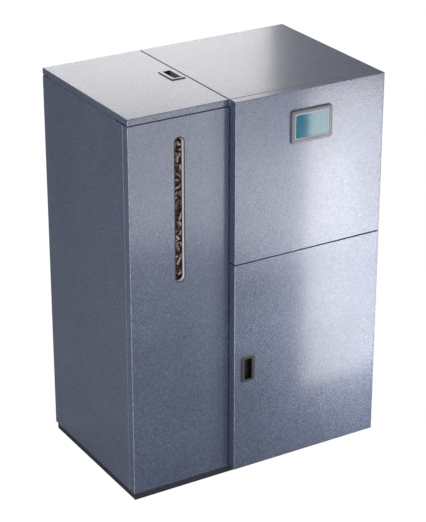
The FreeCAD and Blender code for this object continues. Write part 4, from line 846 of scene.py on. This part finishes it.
def door_rope():
    """Flat braided rope round the fire opening: a soft core with two rows of lozenges."""
    width = 0.012
    corner = 0.004
    cover = 0.003
    bulge = 0.0009
    step = 0.0066
    # How far each row lies off the rope's middle, and how its lozenges lean
    rows = ((-0.0026, 0.62), (0.0026, -0.62))
    shrink = Matrix.Scale(0.55, 4)
    low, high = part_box("fire_door_rope")
    size = high - low
    middle = (low + high) / 2
    core = soft_ring(size.x - cover, size.z - cover, width - cover, size.y - bulge * 2, corner)
    core.data.transform(Matrix.Translation((middle.x, high.y - bulge, middle.z)) @ UPRIGHT)
    run_x = (low.x + width / 2, high.x - width / 2)
    run_z = (low.z + width / 2, high.z - width / 2)
    places = []
    for row, lean in rows:
        lying = Matrix.Rotation(lean, 4, "Y") @ shrink
        standing = Matrix.Rotation(lean + math.pi / 2, 4, "Y") @ shrink
        for index in range(int((run_x[1] - run_x[0]) / step)):
            x = run_x[0] + (index + 0.5) * step
            for z in run_z:
                places.append(Matrix.Translation((x, middle.y, z + row)) @ lying)
        for index in range(int((run_z[1] - run_z[0]) / step)):
            z = run_z[0] + (index + 0.5) * step
            for x in run_x:
                places.append(Matrix.Translation((x + row, middle.y, z)) @ standing)
    braid = join([copies_at(model_strand(), places), core])
    hand_over(braid, "fire_door_braid", "cabinet", "rope", ["fire_door_rope"])


def lagging_boxes():
    """The corners of each lagging slab, read from the CAD node and told apart by the vessel's sides."""
    spots = [vertex.co for vertex in nodes["insulation_slabs"].data.vertices]
    vessel_low, vessel_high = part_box("boiler_vessel")
    left_edge = vessel_low.x + 0.0005
    right_edge = vessel_high.x + 0.0002
    sides = (
        [spot for spot in spots if spot.x < left_edge],
        [spot for spot in spots if spot.x > right_edge],
        [spot for spot in spots if left_edge < spot.x < right_edge],
    )
    return [
        (Vector([min(spot[axis] for spot in side) for axis in (X, Y, Z)]),
         Vector([max(spot[axis] for spot in side) for axis in (X, Y, Z)]))
        for side in sides
    ]


def lagging_mats():
    """Mineral-wool mats with soft edges and an uneven face."""
    give = Vector((0.0018, 0.0018, 0.0018))
    soft_edge = 0.005
    facet = 0.009
    swell = 0.0032
    fibre = bpy.data.textures.new("fibre_lumps", "CLOUDS")
    fibre.noise_scale = 0.045
    mats = []
    for low, high in lagging_boxes():
        mat = block(low + give, high - give)
        edit(mat, "EDGE", everything)
        bpy.ops.mesh.bevel(offset=soft_edge, segments=2)
        done()
        finish_with(mat, "REMESH", mode="VOXEL", voxel_size=facet)
        finish_with(mat, "DISPLACE", texture=fibre, strength=swell, mid_level=0.5, texture_coords="LOCAL")
        smooth(mat, 60)
        mats.append(mat)
    hand_over(join(mats), "lagging_mats", "cabinet", "mineral_wool", ["insulation_slabs"])


# Hardware at the rear: screws, threaded stubs, cable glands and the control box
PINHOLE = 0.0002


def model_screw():
    """A pan-head screw with a six-point recess."""
    head = 0.0045
    recess = 0.0024
    recess_floor = 0.0010
    tip = -0.0070
    twelfth = math.pi / 6
    screw = turned([
        (head, 0.0),
        (head, 0.0010),
        (0.0041, 0.0019),
        (0.0034, 0.0024),
        (recess, 0.0026),
        (recess, 0.0011),
        (PINHOLE, recess_floor),
        (PINHOLE, tip),
        (0.0018, tip),
        (0.0019, 0.0),
    ], 12)

    def recess_point(spot, item):
        on_wall = abs(math.hypot(spot.x, spot.y) - recess) < 0.0002 and spot.z > recess_floor
        return on_wall and round(math.atan2(spot.y, spot.x) / twelfth) % 2 == 0

    edit(screw, "VERT", recess_point)
    bpy.ops.transform.resize(value=(0.66, 0.66, 1.0), center_override=(0, 0, 0))
    done()
    smooth(screw, 35)
    return screw


def panel_screws():
    """A screw at each head of the CAD node, told apart by their column and row on the rear."""
    column = 0.02
    row = 0.05
    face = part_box("hopper_rear_panel")[1].y
    heads = {}
    for vertex in nodes["panel_screws"].data.vertices:
        if vertex.co.y > face + 0.0001:
            key = (round(vertex.co.x / column), round(vertex.co.z / row))
            heads.setdefault(key, []).append(vertex.co)
    places = []
    for spots in heads.values():
        x = (min(spot.x for spot in spots) + max(spot.x for spot in spots)) / 2
        z = (min(spot.z for spot in spots) + max(spot.z for spot in spots)) / 2
        places.append(Matrix.Translation((x, face, z)) @ REARWARDS)
    screws = copies_at(model_screw(), places)
    hand_over(screws, "panel_screw_heads", "cabinet", "hinge_steel", ["panel_screws"])


def stacked_pair(low, high, radius, y):
    """Places of two round fittings, one over the other in their box, that point to the rear."""
    middle = (low.x + high.x) / 2
    heights = (low.z + radius, high.z - radius)
    return [Matrix.Translation((middle, y, height)) @ REARWARDS for height in heights]


def threaded_stubs():
    """Water stubs with a pipe thread cut on the ends that stand out of the rear."""
    low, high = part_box("water_pipes")
    radius = (high.x - low.x) / 2
    length = high.y - low.y
    bore = 0.012
    root = radius - 0.0014
    pitch = 0.0023
    chamfer = 0.0006
    plain = 0.004
    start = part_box("hopper_rear_panel")[1].y + plain - low.y
    profile = [(bore, 0.0), (root, 0.0)]
    for turn in range(int((length - start) / pitch)):
        foot = start + turn * pitch
        profile += [(root, foot), (radius, foot + pitch * 0.42), (radius, foot + pitch * 0.58)]
    profile += [(root, length - chamfer), (root - chamfer, length), (bore, length)]
    stub = turned(profile, 32)
    smooth(stub, 30)
    places = stacked_pair(low, high, radius, low.y)
    hand_over(copies_at(stub, places), "threaded_stubs", "cabinet", "bare_steel", ["water_pipes"])


def gland_nuts():
    """Cable glands: a lock nut inside, a hexagon and a ribbed dome outside."""
    low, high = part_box("cable_glands")
    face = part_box("hopper_rear_panel")[1].y
    radius = (high.x - low.x) / 2
    inner = low.y - face
    outer = high.y - face
    bore = 0.004
    neck = 0.008
    sheet = 0.0015
    hexagon = 0.008
    dome = 0.009
    shoulder = outer - 0.006
    nuts = turned([
        (bore, inner),
        (radius, inner),
        (radius, -sheet),
        (neck, -sheet),
        (neck, 0.0),
        (radius, 0.0),
        (radius, hexagon - 0.0006),
        (radius - 0.0008, hexagon),
        (bore, hexagon),
    ], 6)
    cap = turned([
        (bore, hexagon),
        (dome - 0.0006, hexagon),
        (dome, hexagon + 0.001),
        (dome, shoulder),
        (dome - 0.0012, outer - 0.0025),
        (dome - 0.0035, outer),
        (bore, outer - 0.0004),
    ], 24)

    def groove(spot, item):
        on_wall = hexagon < spot.z < shoulder and math.hypot(spot.x, spot.y) > neck
        return on_wall and item.index % 2 == 1

    edit(cap, "FACE", groove)
    bpy.ops.mesh.inset(thickness=0.00025, depth=-0.0003, use_individual=True)
    done()
    smooth(cap, 30)
    gland = join([cap, nuts])
    places = stacked_pair(low, high, radius, face)
    hand_over(copies_at(gland, places), "gland_nuts", "cabinet", "dark_plastic", ["cable_glands"])


def cover_rib(low, high):
    """A rib of the control box's cover, rounded along its front."""
    rib = block(low, high)
    edit(rib, "EDGE", lambda spot, item: spot.y < low.y + 0.0001)
    bpy.ops.mesh.bevel(offset=0.0008, segments=2)
    done()
    return rib


def cover_screw():
    """A flat screw that holds the control box's cover."""
    head = 0.0040
    recess = 0.0020
    tip = -0.003
    screw = turned([
        (head, 0.0),
        (head, 0.0006),
        (0.0034, 0.0011),
        (recess, 0.0012),
        (recess, 0.0004),
        (PINHOLE, 0.0004),
        (PINHOLE, tip),
        (0.0030, tip),
    ], 18)
    smooth(screw, 35)
    return screw


def control_box():
    """Moulded control box: rounded corners, a sunk cover with ribs, and a screw in each corner."""
    corner = 0.008
    border = 0.005
    sunk = 0.0014
    rib_count = 12
    rib_step = 0.014
    rib_half = 0.003
    screw_inset = 0.018
    low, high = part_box("control_unit")
    middle = (low + high) / 2
    box = block(low, high)
    edit(box, "EDGE", lambda spot, item: abs(spot.y - middle.y) < 0.0001)
    bpy.ops.mesh.bevel(offset=corner, segments=4)
    done()
    edit(box, "FACE", lambda spot, item: item.normal.y < -0.9)
    bpy.ops.mesh.inset(thickness=border, depth=0.0)
    bpy.ops.mesh.inset(thickness=0.0008, depth=-sunk)
    done()
    smooth(box, 30)
    pieces = []
    for index in range(rib_count):
        x = middle.x + (index - (rib_count - 1) / 2) * rib_step
        rib_low = Vector((x - rib_half, low.y + 0.0002, low.z + 0.030))
        rib_high = Vector((x + rib_half, low.y + 0.002, low.z + 0.075))
        pieces.append(cover_rib(rib_low, rib_high))
    columns = (low.x + screw_inset, high.x - screw_inset)
    heights = (low.z + screw_inset, high.z - screw_inset)
    places = [Matrix.Translation((x, low.y + sunk, z)) @ UPRIGHT for x in columns for z in heights]
    pieces.append(copies_at(cover_screw(), places))
    hand_over(join([*pieces, box]), "control_box", "cabinet", "control_plastic", ["control_unit"])


# Casing: folded edges on the sheets, the pulls' finger cups and the display's frame
def casing():
    """The casing's sheets, each with the sides that its folds leave open."""
    left, right = (X, "low"), (X, "high")
    foot, top = (Z, "low"), (Z, "high")
    rear = (Y, "high")
    front_fold = 0.0022
    door_fold = 0.0018
    side_fold = 0.0010
    rounded_casing("hopper_front_panel", "cabinet", front_fold, (rear, top, foot))
    rounded_casing("upper_door", "upper_door", door_fold, (rear,))
    rounded_casing("lower_door", "lower_door", door_fold, (rear,))
    rounded_casing("hopper_lid", "hopper_lid", door_fold, (foot,))
    rounded_casing("top_cover", "cabinet", door_fold, (foot,))
    rounded_casing("left_side_panel", "cabinet", side_fold, (right,))
    rounded_casing("right_side_panel", "cabinet", side_fold, (left,))


def flush_pulls():
    """The pulls' rims keep their colour. The door's cup is painted in shade, and the lid's is painted lit,
    with painted shade at its ends.
    """
    half_mouth = 0.0137
    half_length = 0.0362
    rim_depth = 0.0005
    end_shade = 0.5
    # Node, body, the axis it faces along, the axis its length runs along, and the cup's painted shade, below
    # 0 for painted light
    pulls = (
        ("door_pull", "lower_door", Y, Z, 1.0),
        ("lid_pull", "hopper_lid", Z, Y, -0.45),
    )
    for node, body, faces, runs, shade in pulls:
        low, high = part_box(node)
        middle = (low + high) / 2
        rim = low.y if faces == Y else high.z
        piece = copy_of(node)
        cup = piece.data.attributes.new("cup", "FLOAT", "FACE")
        for face in piece.data.polygons:
            off = face.center - middle
            within = abs(off.x) < half_mouth and abs(off[runs]) < half_length
            if within and abs(face.center[faces] - rim) > rim_depth:
                at_end = abs(face.normal[runs]) > 0.7
                cup.data[face.index].value = max(shade, end_shade) if at_end else shade
        hand_over(piece, node + "_moulding", body, "dark_plastic", [node], PULL_PLASTIC)


def display_frame():
    """Moulded frame round the display, with a soft outer edge, a sloping lip down to the glass, and a pale
    ring painted on as the lip's highlight.
    """
    frame_corner = 0.009
    lip = 0.0072
    play = 0.0006
    edging_corner = 0.006
    edging_outside = 0.0052
    edging_inside = 0.0012
    low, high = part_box("display_bezel")
    glass_low, glass_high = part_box("display_screen")
    size = high - low
    glass = glass_high - glass_low
    middle = (glass_low + glass_high) / 2
    place = Matrix.Translation((middle.x, high.y, middle.z)) @ UPRIGHT
    depth = size.y
    outer_steps = steps_round(size.x, size.z, [
        (0.0, 0.0),
        (0.0, depth - 0.0016),
        (-0.0010, depth - 0.0005),
        (-0.0032, depth),
    ])
    inner_steps = steps_round(glass.x, glass.z, [
        (lip, depth),
        (play, depth - 0.0014),
        (play, 0.0),
    ])
    piece = drawn_frame(frame_corner, outer_steps + inner_steps)
    piece.data.transform(place)
    hand_over(piece, "display_frame", "upper_door", "bezel_plastic", ["display_bezel"])
    # The pale ring round the glass is a painted highlight on the lip, even all round
    edging = drawn_frame(edging_corner, steps_round(glass.x, glass.z, [
        (edging_outside, depth - 0.0002),
        (edging_inside, depth - 0.0008),
        (edging_inside, depth - 0.0020),
        (edging_outside, depth - 0.0020),
    ]))
    edging.data.transform(place)
    hand_over(edging, "display_edging", "upper_door", "bezel_plastic", (), PAINTED_LIP_HIGHLIGHT)


# Studio: white surround, pale floor, two boards, six soft boxes and the photograph's camera
def background_rays(finish):
    """The rays that should see the plain background: the camera's own, and those in metal and glass."""
    seen = finish.add("LightPath", output="Is Camera Ray")
    glossy = finish.add("LightPath", output="Is Glossy Ray")
    through = finish.add("LightPath", output="Is Transmission Ray")
    return seen, glossy + through


def studio_world():
    """White where it is seen, and half as bright where it lights the object."""
    finish = Finish("studio_surround", world=True)
    seen, mirrored = background_rays(finish)
    strength = finish.add("MapRange", sockets={"Value": seen + mirrored, "To Min": 0.5, "To Max": 1.0})
    ground = finish.add("Background", sockets={"Color": (1, 1, 1, 1), "Strength": strength})
    finish.add("OutputWorld", sockets={"Surface": ground})
    bpy.context.scene.world = finish.holder


def studio_floor():
    """A pale floor that keeps the object's shadow and reads as nearly white."""
    deselect()
    bpy.ops.mesh.primitive_plane_add(size=40.0)
    floor = bpy.context.active_object
    floor.name = "studio_floor"
    finish = Finish("pale_floor")
    seen, mirrored = background_rays(finish)
    pale = finish.add("BsdfDiffuse", sockets={"Color": (0.36, 0.38, 0.43, 1.0)})
    white = finish.add("Emission", sockets={"Color": (1, 1, 1, 1), "Strength": 1.08})
    mixed = finish.add("MixShader", sockets={0: seen * 0.93 + mirrored * 0.05, 1: pale, 2: white})
    finish.add("OutputMaterial", sockets={"Surface": mixed})
    floor.data.materials.append(finish.holder)


def studio_board(name, place, wide, high, finish_name, colour):
    """An upright matt board, kept out of the camera's sight."""
    deselect()
    bpy.ops.mesh.primitive_plane_add(size=1.0)
    board = bpy.context.active_object
    board.name = name
    stands = Euler((math.radians(90), 0, 0))
    board.data.transform(Matrix.LocRotScale(place, stands, (wide, high, 1.0)))
    board.visible_camera = False
    finish = Finish(finish_name)
    matt = finish.add("BsdfDiffuse", sockets={"Color": colour})
    finish.add("OutputMaterial", sockets={"Surface": matt})
    board.data.materials.append(finish.holder)


def soft_box(name, place, towards, wide, high, radiance, colour):
    """A rectangular lamp of a given radiance, kept out of the camera's sight."""
    bpy.ops.object.light_add(type="AREA", location=place)
    lamp = bpy.context.active_object
    lamp.name = name
    lamp.data.shape = "RECTANGLE"
    lamp.data.size = wide
    lamp.data.size_y = high
    lamp.data.energy = radiance * math.pi * wide * high
    lamp.data.color = colour
    lamp.rotation_euler = (Vector(towards) - Vector(place)).to_track_quat("-Z", "Y").to_euler()
    lamp.visible_camera = False


def photograph_camera():
    """The photograph's view, worked out from the casing's edges."""
    stands = (-2.9253, -4.89685, 3.2179)
    ahead = Vector((0.46826, 0.78101, -0.41324))
    bpy.ops.object.camera_add(location=stands)
    camera = bpy.context.active_object
    camera.name = "photograph_camera"
    camera.data.lens = 130.93
    camera.data.sensor_width = 36.0
    camera.rotation_euler = ahead.to_track_quat("-Z", "Y").to_euler()
    bpy.context.scene.camera = camera


WARM = (1.0, 0.96, 0.92)
# Name, where it stands, where it points, width, height, radiance and colour
SOFT_BOXES = (
    ("front_box", (0.59, -0.70, 0.58), (0.59, 0.0, 0.58), 0.36, 1.12, 5.5, (1.0, 0.95, 0.87)),
    ("bounce_box", (0.29, -1.50, 0.60), (0.29, -0.5, 0.60), 1.00, 0.68, 2.5, WARM),
    ("low_box", (0.90, -1.50, 0.34), (0.90, -0.5, 0.34), 0.56, 0.44, 3.4, WARM),
    ("left_box", (-2.20, -1.70, 0.90), (-0.30, -0.30, 0.65), 1.0, 1.2, 6.8, (0.90, 0.95, 1.0)),
    ("back_box", (0.50, 2.20, 0.70), (0.1, 0.30, 0.65), 1.2, 1.0, 1.8, (1.0, 0.98, 0.95)),
    ("rear_box", (0.973, 2.330, 2.06), (0.459, 1.470, 2.06), 1.27, 0.74, 2.5, (1.0, 0.97, 0.95)),
)
# The backdrop is what metal mirrors, and the flag keeps the front lamp off the right side
STUDIO_BOARDS = (
    ("studio_backdrop", (1.0, 3.3, 2.8), 11.0, 4.0, "pale_backdrop", (0.72, 0.73, 0.75, 1.0)),
    ("studio_flag", (0.676, -0.345, 0.70), 0.436, 1.4, "grey_flag", (0.30, 0.31, 0.33, 1.0)),
)


# The boiler's pieces, and then the studio round them
fill_hopper()
lid_seal()
door_rope()
lagging_mats()
panel_screws()
threaded_stubs()
gland_nuts()
control_box()
casing()
flush_pulls()
display_frame()

studio_world()
studio_floor()
for board in STUDIO_BOARDS:
    studio_board(*board)
for box in SOFT_BOXES:
    soft_box(*box)
photograph_camera()

bpy.context.scene.view_settings.view_transform = "Standard"
